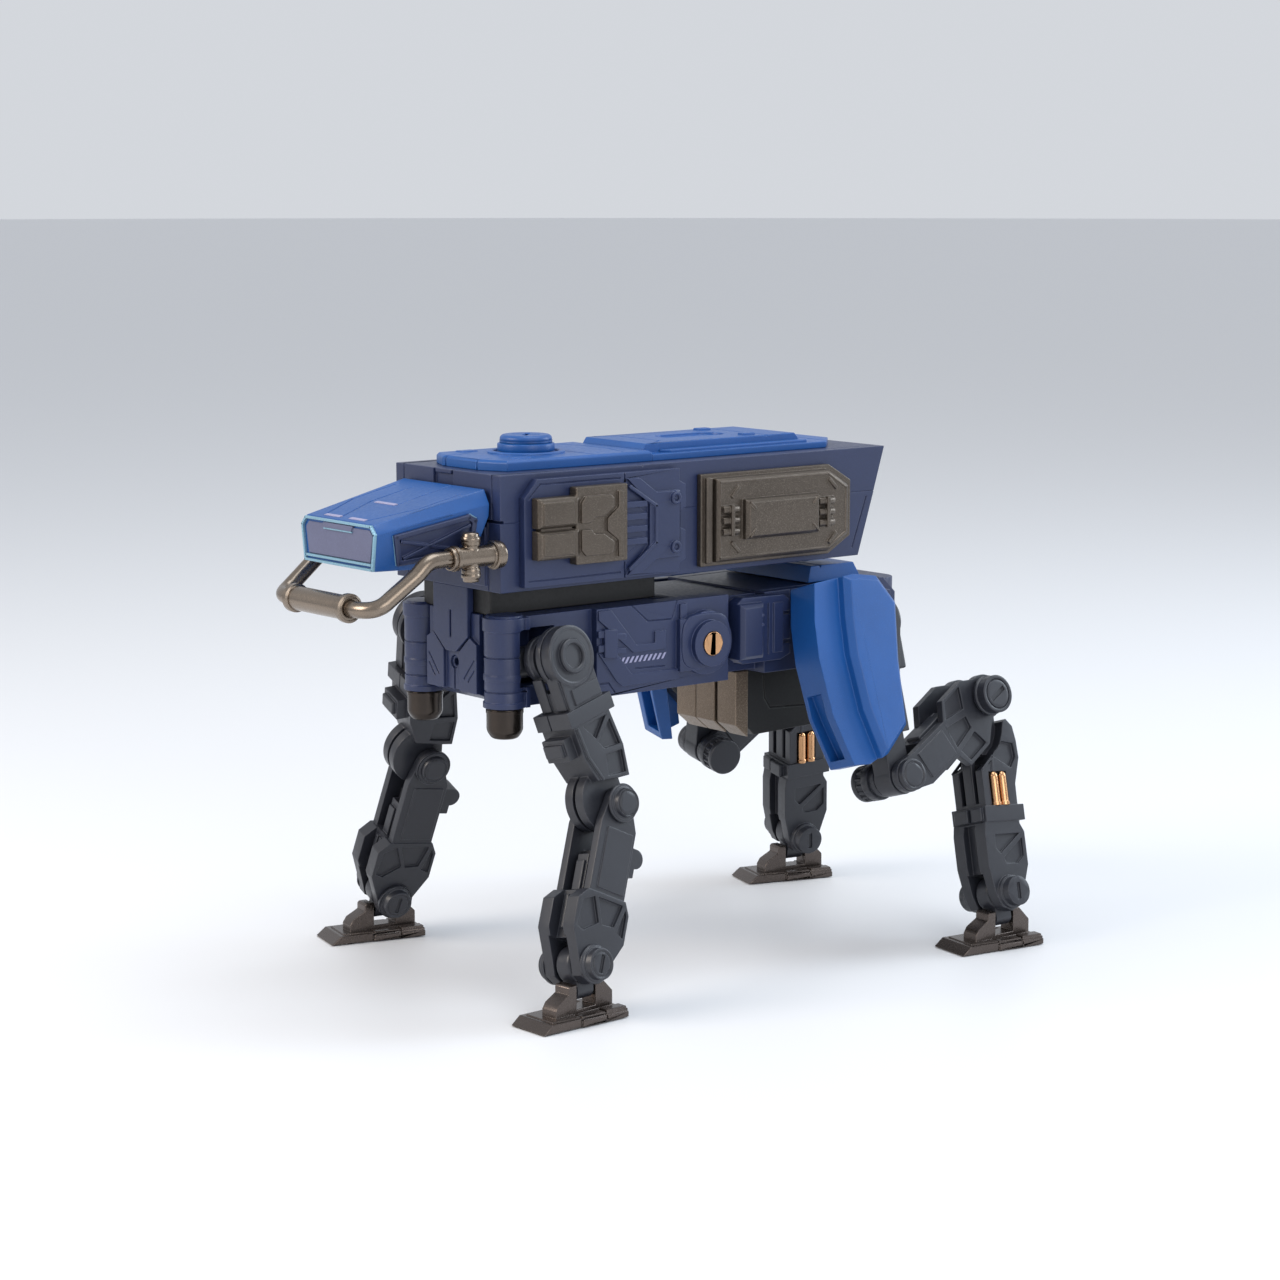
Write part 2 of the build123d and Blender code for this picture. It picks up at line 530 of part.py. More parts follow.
with BuildPart() as forearm_pins:
    rod_y(0, 0, PIN, (-4.6, 4.6))
    for side in (-1, 1):
        for radius, near, far in ((3.2, 4.6, 5.6), (2.8, 5.6, 6.7)):
            rod_y(0, 0, radius, (min(side * near, side * far), max(side * near, side * far)))
    rod_y(0, -FOREARM, ANKLE_PIN, (-4.9, 4.9))
    for side in (-1, 1):
        for radius, near, far in ((3.4, 4.9, 5.8), (3.0, 5.8, 7.2)):
            rod_y(0, -FOREARM, radius, (min(side * near, side * far), max(side * near, side * far)))
        block((-0.45, 0.45), (side * 7.2 - 0.5, side * 7.2 + 0.5), (-FOREARM - 1.7, -FOREARM + 1.7),
              mode=Mode.SUBTRACT)

with BuildPart() as ankle_knuckle:
    rod_y(0, 0, 3.6, (-2.05, 2.05))
    fillet(ankle_knuckle.edges().filter_by(GeomType.CIRCLE), 0.9)
    block((-2.1, 2.1), (-1.8, 1.8), (-ROLL_DROP, -1.5))
    rod_x(0, -ROLL_DROP, 1.8, (-2.1, 2.1))
    rod_y(0, 0, ANKLE_PIN + RUN, (-4, 4), mode=Mode.SUBTRACT)
    rod_x(0, -ROLL_DROP, ROLL_PIN + RUN, (-5, 5), mode=Mode.SUBTRACT)


def make_foot(turn):
    """Sole plate turned by some degrees under the pair of ears that carries the roll pin."""
    with BuildPart() as sole:
        slab_y([(12.7, 0.0), (10.6, 1.7), (-7.9, 1.7), (-7.9, 0.0)], (-4.9, 4.9))
        block((-7.9, 3.4), (-5.2, 5.2), (0.0, 1.2))
    with BuildPart() as ears:
        slab_y([(8.0, 1.7), (8.0, 3.2), (7.2, 4.4), (4.6, 5.8), (4.6, 7.0), (4.2, 7.4), (2.5, 7.4), (2.5, 2.6),
                (-2.5, 2.6), (-2.5, 7.4), (-4.2, 7.4), (-7.0, 4.6), (-7.0, 1.7)], (-1.9, 1.9))
        rod_x(0, ROLL_HEIGHT, ROLL_PIN, (-3.2, 3.2))
    return sole.part.rotate(Axis.Z, turn) + ears.part


# ------------------------------------------------------------------ rear legs
with BuildPart() as rear_pivot:
    rod_x(0, 0, 3.1, (-4.3, 4.3))
    rod_y(0, 0, 2.9, (0, REAR_OFFSET - 4.9))
    rod_y(0, 0, 2.4, (REAR_OFFSET - 5.2, REAR_OFFSET + 3.6))
    rod_x(0, 0, 1.2 + RUN, (-6, 6), mode=Mode.SUBTRACT)

with BuildPart() as thigh:
    rod_y(0, 0, 5.2, (-4.5, 4.5))
    slab_y([(-5.2, 0), (-2.2, -12.0), (-2.2, -23.2), (6.0, -23.2), (13.0, -16.0), (14.4, -4.0), (12.6, 5.0),
            (0, 5.2)], (-4.5, 1.8))
    slab_y([(-5.2, 0), (-2.2, -12.0), (-2.2, -23.2), (4.6, -23.2), (7.0, -12.0), (7.4, 5.1), (0, 5.2)],
           (1.8, 4.5))
    block((-2.2, 3.4), (-2.45, 2.45), (-THIGH, -23.0))
    rod_y(0, -THIGH, 3.6, (-2.45, 2.45))
    rod_y(0, -THIGH, PIN + RUN, (-6, 6), mode=Mode.SUBTRACT)
    rod_y(0, 0, 2.4 + RUN, (-6, 4.0), mode=Mode.SUBTRACT)

armour_side = [(15.3, 8.6), (16.9, 1.0), (17.4, -6.5), (16.4, -18.0), (13.1, -28.6), (8.8, -28.8),
               (5.3, -27.4), (-0.9, -22.0), (-1.8, -9.0), (-3.7, 3.0), (0.2, 8.8), (6.0, 9.6)]
with BuildPart() as thigh_armour:
    slab_y(armour_side, (-4.2, 6.4))
    # room for the thigh behind the front wall and behind the cheek
    slab_y([(12.8, 6.9), (14.4, -4.0), (13.0, -16.0), (10.2, -30.0), (-8.0, -30.0), (-8.0, 6.9)],
           (-6.0, 2.0), mode=Mode.SUBTRACT)
    slab_y([(7.6, 6.9), (8.2, -4.0), (7.6, -16.0), (4.8, -30.0), (-8.0, -30.0), (-8.0, 6.9)],
           (2.0, 4.9), mode=Mode.SUBTRACT)
    # step between the front wall and the cheek
    slab_y([(8.6, 12.0), (10.2, 1.0), (10.7, -6.5), (9.7, -18.0), (6.4, -30.0), (25.0, -30.0), (25.0, 12.0)],
           (3.6, 7.0), mode=Mode.SUBTRACT)
    chamfer(thigh_armour.faces().sort_by(Axis.Y)[-1].outer_wire().edges(), 1.2)
    slab_y([(15.2, -13.5), (13.9, -18.5), (11.0, -27.0), (20.0, -27.0), (20.0, -13.5)], (-3.2, 1.4),
           mode=Mode.SUBTRACT)

with BuildPart() as shank:
    for y in ((-4.6, -2.85), (2.85, 4.6)):
        rod_y(0, 0, 3.4, y)
        rod_y(0, -SHANK, 4.6, y)
        slab_y([(-3.4, 0), (3.4, 0), (5.0, -4.0), (5.0, -13.6), (8.4, -15.0), (8.0, -22.2),
                (4.4, -26.5), (4.4, -SHANK), (-4.4, -SHANK), (-6.4, -24.4), (-6.2, -17.4),
                (-2.8, -14.8), (-2.8, -4.0)], y)
    block((-2.6, 4.6), (-4.6, 4.6), (-20.0, -8.2))
    rod_y(0, 0, PIN, (-6, 6), mode=Mode.SUBTRACT)
    rod_y(0, -SHANK, PIN, (-6, 6), mode=Mode.SUBTRACT)

with BuildPart() as shank_pins:
    rod_y(0, 0, PIN, (-4.6, 4.6))
    rod_y(0, 0, 3.2, (4.6, 6.0))
    rod_y(0, 0, 3.9, (-6.4, -4.6))
    rod_y(0, 0, 3.4, (-8.4, -6.4))
    rod_y(0, 0, 3.8, (-9.6, -8.4))
    rod_y(0, -SHANK, PIN, (-4.6, 4.6))
    for side in (-1, 1):
        for radius, near, far in ((3.6, 4.6, 5.8), (3.9, 5.8, 8.4)):
            rod_y(0, -SHANK, radius, (min(side * near, side * far), max(side * near, side * far)))
    block((-0.5, 0.5), (7.9, 9.0), (-SHANK - 2.2, -SHANK + 2.2), mode=Mode.SUBTRACT)

with BuildPart() as metatarsus:
    rod_y(0, 0, 3.7, (-2.45, 2.45))
    block((-3.6, 1.0), (-2.45, 2.45), (-12.0, 0))
    slab_y([(-4.8, -4.8), (-6.4, -6.4), (-7.0, -9.4), (-7.2, -13.0), (-5.4, -18.4), (-5.2, -30.0),
            (3.6, -30.0), (3.6, -15.2), (1.0, -13.8), (-0.6, -11.4), (-2.0, -10.2), (-3.2, -7.8),
            (-3.8, -5.4)], (-4.6, 4.6))
    # open channel down the front
    block((1.4, 6.0), (-2.6, 2.6), (-22.0, -12.0), mode=Mode.SUBTRACT)
    # pocket behind the two gas rods
    for side in (-1, 1):
        with Locations((-0.65, side * 4.6, -19.2)):
            Box(4.8, 2.4, 7.0, mode=Mode.SUBTRACT)
    block((-6.4, 4.4), (-5.2, 5.2), (-26.0, -22.7))
    rod_y(0, 0, PIN + RUN, (-6, 6), mode=Mode.SUBTRACT)
    ankle_fork(METATARSUS, -26.0, 5.0, 6.0)
    rod_y(0, -METATARSUS, ANKLE_PIN, (-4.9, 4.9))
    for side in (-1, 1):
        for radius, near, far in ((3.4, 4.9, 5.8), (3.0, 5.8, 7.6)):
            rod_y(0, -METATARSUS, radius, (min(side * near, side * far), max(side * near, side * far)))
        block((-0.45, 0.45), (side * 7.6 - 0.5, side * 7.6 + 0.5),
              (-METATARSUS - 1.7, -METATARSUS + 1.7), mode=Mode.SUBTRACT)

with BuildPart() as gas_rods:
    for side in (-1, 1):
        for u in (-1.8, 0.5):
            rod_z(u, side * 4.45, 1.0, (-22.7, -16.7))
            with Locations((u, side * 4.45, -16.7)):
                Sphere(1.0)

# ------------------------------------------------------------------ place and write the legs
front_links = {
    "splay_knuckle": (front_pivot, "pivot"),
    "upper_arm": (upper_arm, "upper_arm"),
    "forearm": (forearm, "forearm"),
    "forearm_pins": (forearm_pins, "forearm"),
    "ankle_knuckle": (ankle_knuckle, "knuckle"),
}
rear_links = {
    "splay_knuckle": (rear_pivot, "pivot"),
    "thigh": (thigh, "thigh"),
    "thigh_armour": (thigh_armour, "thigh"),
    "shank": (shank, "shank"),
    "shank_pins": (shank_pins, "shank"),
    "metatarsus": (metatarsus, "metatarsus"),
    "gas_rods": (gas_rods, "metatarsus"),
    "ankle_knuckle": (ankle_knuckle, "knuckle"),
}
for leg, frames in (("front_left", left_front), ("front_right", right_front), ("rear_left", left_rear),
                    ("rear_right", right_rear)):
    links = front_links if leg.startswith("front") else rear_links
    for link_name, (builder, frame_name) in links.items():
        shape = builder.part if leg.endswith("left") else flip(builder.part)
        save(shape.moved(frames[frame_name]), leg + "_" + link_name)
    save(make_foot(frames["sole_turn"]).moved(frames["foot"]), leg + "_foot")
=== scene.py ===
"""Looks of the posable robot dog: bevelled edges, moulded detail and procedural materials on every piece.

Shapes are drawn in millimetres, either in the drafting frame of the hull or in the frame of a leg link
(origin at the upper joint, -Z down the link, +Y outward), and are scaled to metres at the end.
"""

import json
import math

import bmesh
import bpy
from mathutils import Matrix, Vector

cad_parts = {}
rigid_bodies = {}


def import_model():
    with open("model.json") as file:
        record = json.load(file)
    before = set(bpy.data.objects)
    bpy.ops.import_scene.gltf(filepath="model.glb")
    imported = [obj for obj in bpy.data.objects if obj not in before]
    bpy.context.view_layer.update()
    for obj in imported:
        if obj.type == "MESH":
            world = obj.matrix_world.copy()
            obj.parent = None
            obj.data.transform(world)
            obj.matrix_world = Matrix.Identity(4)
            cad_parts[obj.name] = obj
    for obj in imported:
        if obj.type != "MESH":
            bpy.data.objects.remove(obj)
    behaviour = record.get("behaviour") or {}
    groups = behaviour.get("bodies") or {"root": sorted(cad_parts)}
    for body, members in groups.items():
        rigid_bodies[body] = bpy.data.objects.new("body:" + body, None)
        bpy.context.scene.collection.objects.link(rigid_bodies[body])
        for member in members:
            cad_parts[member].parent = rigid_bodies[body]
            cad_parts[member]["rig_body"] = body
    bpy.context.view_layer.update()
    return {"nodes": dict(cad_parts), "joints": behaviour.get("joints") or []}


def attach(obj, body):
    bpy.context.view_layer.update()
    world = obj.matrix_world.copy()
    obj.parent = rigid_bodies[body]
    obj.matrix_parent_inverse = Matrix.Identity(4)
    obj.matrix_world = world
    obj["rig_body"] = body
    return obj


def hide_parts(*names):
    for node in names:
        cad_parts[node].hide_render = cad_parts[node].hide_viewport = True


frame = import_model()

MM = 0.001
WELD_MM = 0.004
FLAT_DEG = 0.7
SMOOTH_DEG = 33
HULL = Matrix.Translation((-10.174, -0.439, 0.0))
JOINTS = {joint["name"]: joint for joint in frame["joints"]}
LEGS = ("front_left", "front_right", "rear_left", "rear_right")
SIDES = ((1, "left"), (-1, "right"))
SOLE_TURN = {"front_left": -4.6, "front_right": -5.6, "rear_left": -6.3, "rear_right": -6.5}


# ------------------------------------------------------------------ shapes
class Shape:
    """Closed solids gathered in one mesh, in millimetres."""

    def __init__(self):
        self.bm = bmesh.new()

    def take(self, part, bevel, segments=2):
        bmesh.ops.recalc_face_normals(part, faces=part.faces)
        if part.calc_volume(signed=True) < 0:
            bmesh.ops.reverse_faces(part, faces=part.faces)
        if bevel:
            sharp = [e for e in part.edges if e.calc_face_angle(0) > 0.4]
            bmesh.ops.bevel(part, geom=sharp, offset=bevel, segments=segments, profile=0.5,
                            affect="EDGES", clamp_overlap=True)
        mesh = bpy.data.meshes.new("part")
        part.to_mesh(mesh)
        part.free()
        self.bm.from_mesh(mesh)
        bpy.data.meshes.remove(mesh)
        return self

    def prism(self, axis, outline, lo, hi, bevel=0.0):
        """Outline in the plane across an axis, carried from lo to hi."""
        put = {"x": lambda a, b, h: (h, a, b), "y": lambda a, b, h: (a, h, b), "z": lambda a, b, h: (a, b, h)}
        part = bmesh.new()
        low = [part.verts.new(put[axis](a, b, lo)) for a, b in outline]
        high = [part.verts.new(put[axis](a, b, hi)) for a, b in outline]
        part.faces.new(low)
        part.faces.new(high)
        for i in range(len(outline)):
            part.faces.new((low[i - 1], low[i], high[i], high[i - 1]))
        return self.take(part, bevel)

    def box(self, x, y, z, bevel=0.0):
        return self.prism("z", [(x[0], y[0]), (x[1], y[0]), (x[1], y[1]), (x[0], y[1])], z[0], z[1], bevel)

    def line(self, axis, points, width, lo, hi, bevel=0.0, closed=False):
        """A rib or a groove of some width along a run of points."""
        points = list(points) + ([points[0]] if closed else [])
        for (a, b), (c, d) in zip(points, points[1:]):
            length = math.hypot(c - a, d - b)
            u = ((c - a) / length * width / 2, (d - b) / length * width / 2)
            self.prism(axis, [(a - u[0] - u[1], b - u[1] + u[0]), (a - u[0] + u[1], b - u[1] - u[0]),
                              (c + u[0] + u[1], d + u[1] - u[0]), (c + u[0] - u[1], d + u[1] + u[0])],
                       lo, hi, bevel)
        return self

    def lathe(self, axis, centre, profile, segments=56):
        """Closed (radius, height) loop turned about an axis."""
        put = {"x": lambda c, s, h: (h, centre[0] + c, centre[1] + s),
               "y": lambda c, s, h: (centre[0] + c, h, centre[1] + s),
               "z": lambda c, s, h: (centre[0] + c, centre[1] + s, h)}
        part = bmesh.new()
        rings = []
        for radius, height in profile:
            turns = [2 * math.pi * i / segments for i in range(segments)]
            rings.append([part.verts.new(put[axis](radius * math.cos(t), radius * math.sin(t), height))
                          for t in turns])
        for near, far in zip(rings, rings[1:] + rings[:1]):
            for i in range(segments):
                part.faces.new((near[i - 1], near[i], far[i], far[i - 1]))
        bmesh.ops.remove_doubles(part, verts=part.verts, dist=1e-4)
        return self.take(part, 0.0)

    def ring(self, axis, centre, inner, outer, lo, hi):
        rim = min(0.22, (outer - inner) * 0.3)
        return self.lathe(axis, centre, [(inner, lo), (outer, lo), (outer, hi - rim), (outer - rim, hi),
                                         (inner + rim, hi), (inner, hi - rim)])

    def both(self, draw):
        """Draws something on the left (side 1) and on the right (side -1)."""
        for side in (1, -1):
            draw(self, side)
        return self

    def placed(self, place):
        self.bm.transform(place)
        if place.determinant() < 0:
            bmesh.ops.reverse_faces(self.bm, faces=self.bm.faces)
        return self.bm


def span(side, near, far):
    """Range of Y from near to far, on the left (side 1) or on the right (side -1)."""
    return min(side * near, side * far), max(side * near, side * far)


def finish_mesh(mesh, look):
    mesh.materials.clear()
    mesh.materials.append(look)
    mesh.polygons.foreach_set("use_smooth", [True] * len(mesh.polygons))
    mesh.set_sharp_from_angle(angle=math.radians(SMOOTH_DEG))


def show(name, mesh, body, look):
    finish_mesh(mesh, look)
    piece = bpy.data.objects.new(name, mesh)
    bpy.context.scene.collection.objects.link(piece)
    weigh = piece.modifiers.new("weighted", "WEIGHTED_NORMAL")
    weigh.keep_sharp = True
    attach(piece, body)
    return piece


def scaled(bm, factor):
    bmesh.ops.scale(bm, vec=(factor,) * 3, verts=bm.verts)
    return bm


def trim(name, shape, body, look, place=HULL):
    """A piece of its own, made only of drawn shapes."""
    bm = scaled(shape.placed(place), MM)
    mesh = bpy.data.meshes.new(name)
    bm.to_mesh(mesh)
    return show(name, mesh, body, look)


def carve(mesh, cut, place):
    """The mesh less a group of drawn shapes."""
    body = bpy.data.objects.new("body", mesh)
    knives = bpy.data.meshes.new("knives")
    cut.placed(place).to_mesh(knives)
    knife = bpy.data.objects.new("knife", knives)
    for thing in (body, knife):
        bpy.context.scene.collection.objects.link(thing)
    step = body.modifiers.new("carve", "BOOLEAN")
    step.object = knife
    step.operation = "DIFFERENCE"
    step.solver = "EXACT"
    step.use_self = True
    bpy.context.view_layer.update()
    carved = bpy.data.meshes.new_from_object(body.evaluated_get(bpy.context.evaluated_depsgraph_get()))
    bpy.data.objects.remove(body)
    bpy.data.objects.remove(knife)
    return carved


def welded(mesh, factor=1):
    bm = bmesh.new()
    bm.from_mesh(mesh)
    scaled(bm, factor)
    bmesh.ops.remove_doubles(bm, verts=bm.verts, dist=WELD_MM)
    return bm


def dress(node, look, cut=None, add=None, place=HULL, bevel=0.12, segments=2):
    """A CAD node cut by some shapes, with rounded edges, joined by other shapes."""
    source = frame["nodes"][node]
    bm = welded(source.data, 1000)
    bmesh.ops.dissolve_limit(bm, angle_limit=math.radians(FLAT_DEG), verts=bm.verts, edges=bm.edges)
    bmesh.ops.recalc_face_normals(bm, faces=bm.faces)
    if cut:
        bmesh.ops.triangulate(bm, faces=bm.faces)
        mesh = bpy.data.meshes.new(node)
        bm.to_mesh(mesh)
        bm = welded(carve(mesh, cut, place))
    if bevel:
        sharp = [e for e in bm.edges if len(e.link_faces) == 2 and e.calc_face_angle(0) > 0.5]
        bmesh.ops.bevel(bm, geom=sharp, offset=bevel, segments=segments, profile=0.5,
                        affect="EDGES", clamp_overlap=False)
    if add:
        extra = bpy.data.meshes.new("extra")
        add.placed(place).to_mesh(extra)
        bm.from_mesh(extra)
    scaled(bm, MM)
    bmesh.ops.triangulate(bm, faces=[f for f in bm.faces if len(f.verts) > 4])
    final = bpy.data.meshes.new(node + "_look")
    bm.to_mesh(final)
    piece = show(node + "_look", final, source["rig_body"], look)
    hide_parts(node)
    return piece


# ------------------------------------------------------------------ materials
def linear(colour):
    """8-bit display colour to linear light."""
    return tuple((c / 255 / 12.92 if c < 10.4 else ((c / 255 + 0.055) / 1.055) ** 2.4) for c in colour) + (1,)


def surface(name, slot, colour, rough, metallic=0.0, grain=0.06, edge=1.6, specks=0.0, radius=0.0002):
    """Moulded or painted surface: broad tone drift, fine grain, edges lightened by rubbing and by a painted
    highlight, and specks of flake.
    """
    look = bpy.data.materials.new(name)
    look["slot"] = slot
    look.use_nodes = True
    nodes = look.node_tree.nodes
    links = look.node_tree.links
    shader = nodes["Principled BSDF"]
    shader.inputs["Metallic"].default_value = metallic
    place = nodes.new("ShaderNodeTexCoord").outputs["Object"]

    def noise(scale, detail=2.0):
        node = nodes.new("ShaderNodeTexNoise")
        node.inputs["Scale"].default_value = scale
        node.inputs["Detail"].default_value = detail
        links.new(place, node.inputs["Vector"])
        return node.outputs["Fac"]

    def remap(value, lo, hi, to_lo, to_hi):
        node = nodes.new("ShaderNodeMapRange")
        for slot_name, number in (("From Min", lo), ("From Max", hi), ("To Min", to_lo), ("To Max", to_hi)):
            node.inputs[slot_name].default_value = number
        links.new(value, node.inputs["Value"])
        return node.outputs["Result"]

    def mix(kind, factor, first, second):
        node = nodes.new("ShaderNodeMix")
        node.data_type = "RGBA"
        node.blend_type = kind
        for socket, value in ((node.inputs[0], factor), (node.inputs[6], first), (node.inputs[7], second)):
            if isinstance(value, bpy.types.NodeSocket):
                links.new(value, socket)
            else:
                socket.default_value = value
        return node.outputs[2]

    def maths(kind, first, second):
        node = nodes.new("ShaderNodeMath")
        node.operation = kind
        node.use_clamp = True
        for socket, value in zip(node.inputs, (first, second)):
            if isinstance(value, bpy.types.NodeSocket):
                links.new(value, socket)
            else:
                socket.default_value = value
        return node.outputs[0]

    base = linear(colour)
    dark = tuple(c * 0.86 for c in base[:3]) + (1,)
    tone = mix("MIX", remap(noise(70, 3), 0.35, 0.65, 0, 1), dark, base)
    fine = noise(5200, 2)
    bright = tuple(min(1, c * (1 + 5 * grain) + 0.02 * grain) for c in base[:3]) + (1,)
    tone = mix("MIX", remap(fine, 0.52, 0.72, 0, 1), tone, bright)
    if specks:
        flake = remap(noise(8200, 0), 0.66, 0.74, 0, specks)
        tone = mix("MIX", flake, tone, tuple(min(1, c * 3 + 0.08) for c in base[:3]) + (1,))
    # rubbed edges, lightened partly as wear and partly as a painted highlight that every edge gets whatever
    # the light
    round_off = nodes.new("ShaderNodeBevel")
    round_off.samples = 4
    round_off.inputs["Radius"].default_value = radius
    geometry = nodes.new("ShaderNodeNewGeometry")
    bend = nodes.new("ShaderNodeVectorMath")
    bend.operation = "DOT_PRODUCT"
    links.new(round_off.outputs["Normal"], bend.inputs[0])
    links.new(geometry.outputs["Normal"], bend.inputs[1])
    rub_and_highlight = maths("MULTIPLY", remap(bend.outputs["Value"], 0.985, 0.86, 0, 1),
                remap(noise(420), 0.3, 0.62, 0.35, 1))
    worn_and_highlight = tuple(min(1, c * edge + 0.012 * edge) for c in base[:3]) + (1,)
    tone = mix("MIX", rub_and_highlight, tone, worn_and_highlight)
    links.new(tone, shader.inputs["Base Color"])
    links.new(remap(noise(1500, 3), 0.3, 0.7, rough * 0.86, rough * 1.14), shader.inputs["Roughness"])
    bump = nodes.new("ShaderNodeBump")
    bump.inputs["Strength"].default_value = (0.35 + 3 * grain) * (1 - 0.7 * metallic)
    bump.inputs["Distance"].default_value = 0.00001
    links.new(fine, bump.inputs["Height"])
    links.new(round_off.outputs["Normal"], bump.inputs["Normal"])
    links.new(bump.outputs["Normal"], shader.inputs["Normal"])
    return look


ROYAL = surface("royal_blue", "royal_blue_plastic", (18, 78, 146), 0.4, grain=0.02, edge=1.5)
NAVY = surface("navy", "navy_plastic", (33, 44, 78), 0.4, grain=0.02, edge=2.0)
CHARCOAL = surface("charcoal", "charcoal_plastic", (39, 41, 48), 0.38, grain=0.02, edge=2.3)
INNER = surface("inner_black", "black_plastic", (8, 8, 10), 0.5, grain=0.02, edge=2.0)
GUNMETAL = surface("gunmetal", "gunmetal_paint", (88, 80, 72), 0.36, metallic=0.75, grain=0.07, edge=2.0,
                   specks=0.35)
STEEL = surface("bar_steel", "gunmetal_paint", (134, 122, 110), 0.27, metallic=0.95, grain=0.01, edge=1.3,
                specks=0.05, radius=0.00006)
DARK_METAL = surface("dark_metal", "gunmetal_paint", (62, 56, 52), 0.24, metallic=0.9, grain=0.01, edge=1.6,
                     specks=0.05, radius=0.00006)
SOLE = surface("sole_metal", "gunmetal_paint", (92, 84, 80), 0.26, metallic=0.85, grain=0.01, edge=1.8,
               specks=0.08, radius=0.00008)
BRONZE = surface("bronze", "bronze_paint", (118, 104, 90), 0.4, metallic=0.7, grain=0.09, edge=1.7,
                 specks=0.45)
COPPER = surface("copper", "copper", (206, 158, 116), 0.24, metallic=1.0, grain=0.02, edge=1.4)
# silver-cyan for the real visor trim; the same material also paints the highlight strips on the cheek rims
SILVER = surface("cyan_silver", "silver_trim", (128, 168, 188), 0.3, metallic=0.25, grain=0.02, edge=1.3)
VISOR = surface("visor_grey", "visor_lavender", (92, 96, 124), 0.44, grain=0.02, edge=1.2)
LAVENDER = surface("lavender_print", "visor_lavender", (150, 150, 182), 0.5, grain=0.03, edge=1.1)


# ------------------------------------------------------------------ head
slope = math.atan2(5.2, 23.8)
CROWN = HULL @ Matrix.Translation((81, 0, 93.7)) @ Matrix.Rotation(slope, 4, "Y")


def crown(*points):
    """Drafting X, Y of points on the sloping top of the head."""
    return [((x - 81) / math.cos(slope), y) for x, y in points]


lines = Shape()
for run in (((79.7, -1.4), (70.2, -5.2), (61.0, -5.2)), ((79.9, 6.9), (70.6, 11.0), (61.0, 11.0)),
            ((70.4, 3.5), (64.4, 3.1), (58.0, 3.1)), ((79.7, -6.9), (70.6, -11.0), (61.0, -11.0))):
    lines.line("z", crown(*run), 0.34, -0.32, 1.0)
dress("head_shell", ROYAL, cut=lines, place=CROWN, bevel=0.16)
dashes = Shape()
for x, y in ((79.6, (-6.7, -1.6)), (79.6, (1.6, 6.7)), (70.5, (-3.4, 3.3))):
    start, end = crown((x - 0.45, y[0]), (x + 0.45, y[1]))
    dashes.box((start[0], end[0]), y, (-0.3, 0.12), 0.06)
trim("head_top_dashes", dashes, "head", LAVENDER, CROWN)

for side, label in SIDES:
    out = Vector((0.081, 0.989, -0.12)).normalized()
    ahead = out.cross(Vector((0, 0, 1))).normalized()
    cheek = Matrix((ahead, out, ahead.cross(out))).transposed().to_4x4()
    cheek.translation = Vector((69, 13.12, 90))
    cheek = HULL @ Matrix.Scale(side, 4, (0, 1, 0)) @ cheek
    rim = [(8.2, 1.3), (-7.2, 4.1), (-8.5, 3.4), (-8.3, 1.2), (-5.2, -2.6), (7.3, -3.6)]
    panel = Shape().prism("y", rim, -0.5, 0.2, 0.1)
    inner = [(7.0, 0.5), (-6.7, 3.0), (-7.4, 2.6), (-7.2, 1.5), (-4.6, -1.8), (6.3, -2.7)]
    panel.line("y", [inner[0], inner[4]], 0.6, 0.0, 0.8, 0.15)
    panel.line("y", [inner[2], inner[5]], 0.6, 0.0, 0.8, 0.15)
    trim("head_cheek_panel_" + label, panel, "head", NAVY, cheek)
    border = Shape().line("y", rim, 1.1, -0.5, 0.85, 0.28, closed=True)
    trim("head_cheek_rim_" + label, border, "head", NAVY, cheek)
    # painted highlight: thin silver-cyan strips along the top and front edges of each cheek rim, standing for
    # light caught by those edges
    glint = [(x * 1.06 + 0.02, z * 1.13) for x, z in rim]
    lit = Shape().line("y", [glint[0], glint[1], glint[2]], 0.2, -0.3, 0.3, 0.05)
    lit.line("y", [glint[5], glint[0]], 0.2, -0.3, 0.3, 0.05)
    trim("head_cheek_highlight_" + label, lit, "head", SILVER, cheek)

dress("visor", VISOR, bevel=0.08)
frame_outline = [(-11.2, 85.3), (11.2, 85.3), (12.1, 91.9), (10.9, 93.3), (-10.9, 93.3), (-12.1, 91.9)]
trim_ring = Shape().line("x", frame_outline, 0.5, 80.9, 81.6, 0.12, closed=True)
trim_ring.line("x", [(-10.6, 86.2), (10.6, 86.2)], 0.5, 80.6, 81.55, 0.1)
trim_ring.line("x", [(-4.6, 91.75), (4.6, 91.75)], 0.26, 80.8, 81.6, 0.06)
ring = trim("visor_trim_look", trim_ring, "head", SILVER)
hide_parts("visor_trim")
inside = [(-11.0, 85.5), (11.0, 85.5), (11.9, 91.8), (10.7, 93.15), (-10.7, 93.15), (-11.9, 91.8)]
trim("visor_surround", Shape().prism("x", inside, 80.3, 80.98, 0.05), "head", NAVY)
pane = [(-10.3, 86.6), (10.3, 86.6), (11.2, 91.5), (10.2, 92.6), (-10.2, 92.6), (-11.2, 91.5)]
glass = Shape().prism("x", pane, 80.9, 81.22, 0.1)
glass.prism("x", [(-5.0, 92.9), (5.0, 92.9), (4.4, 91.8), (-4.4, 91.8)], 81.0, 81.5, 0.1)
trim("visor_face", glass, "head", VISOR)

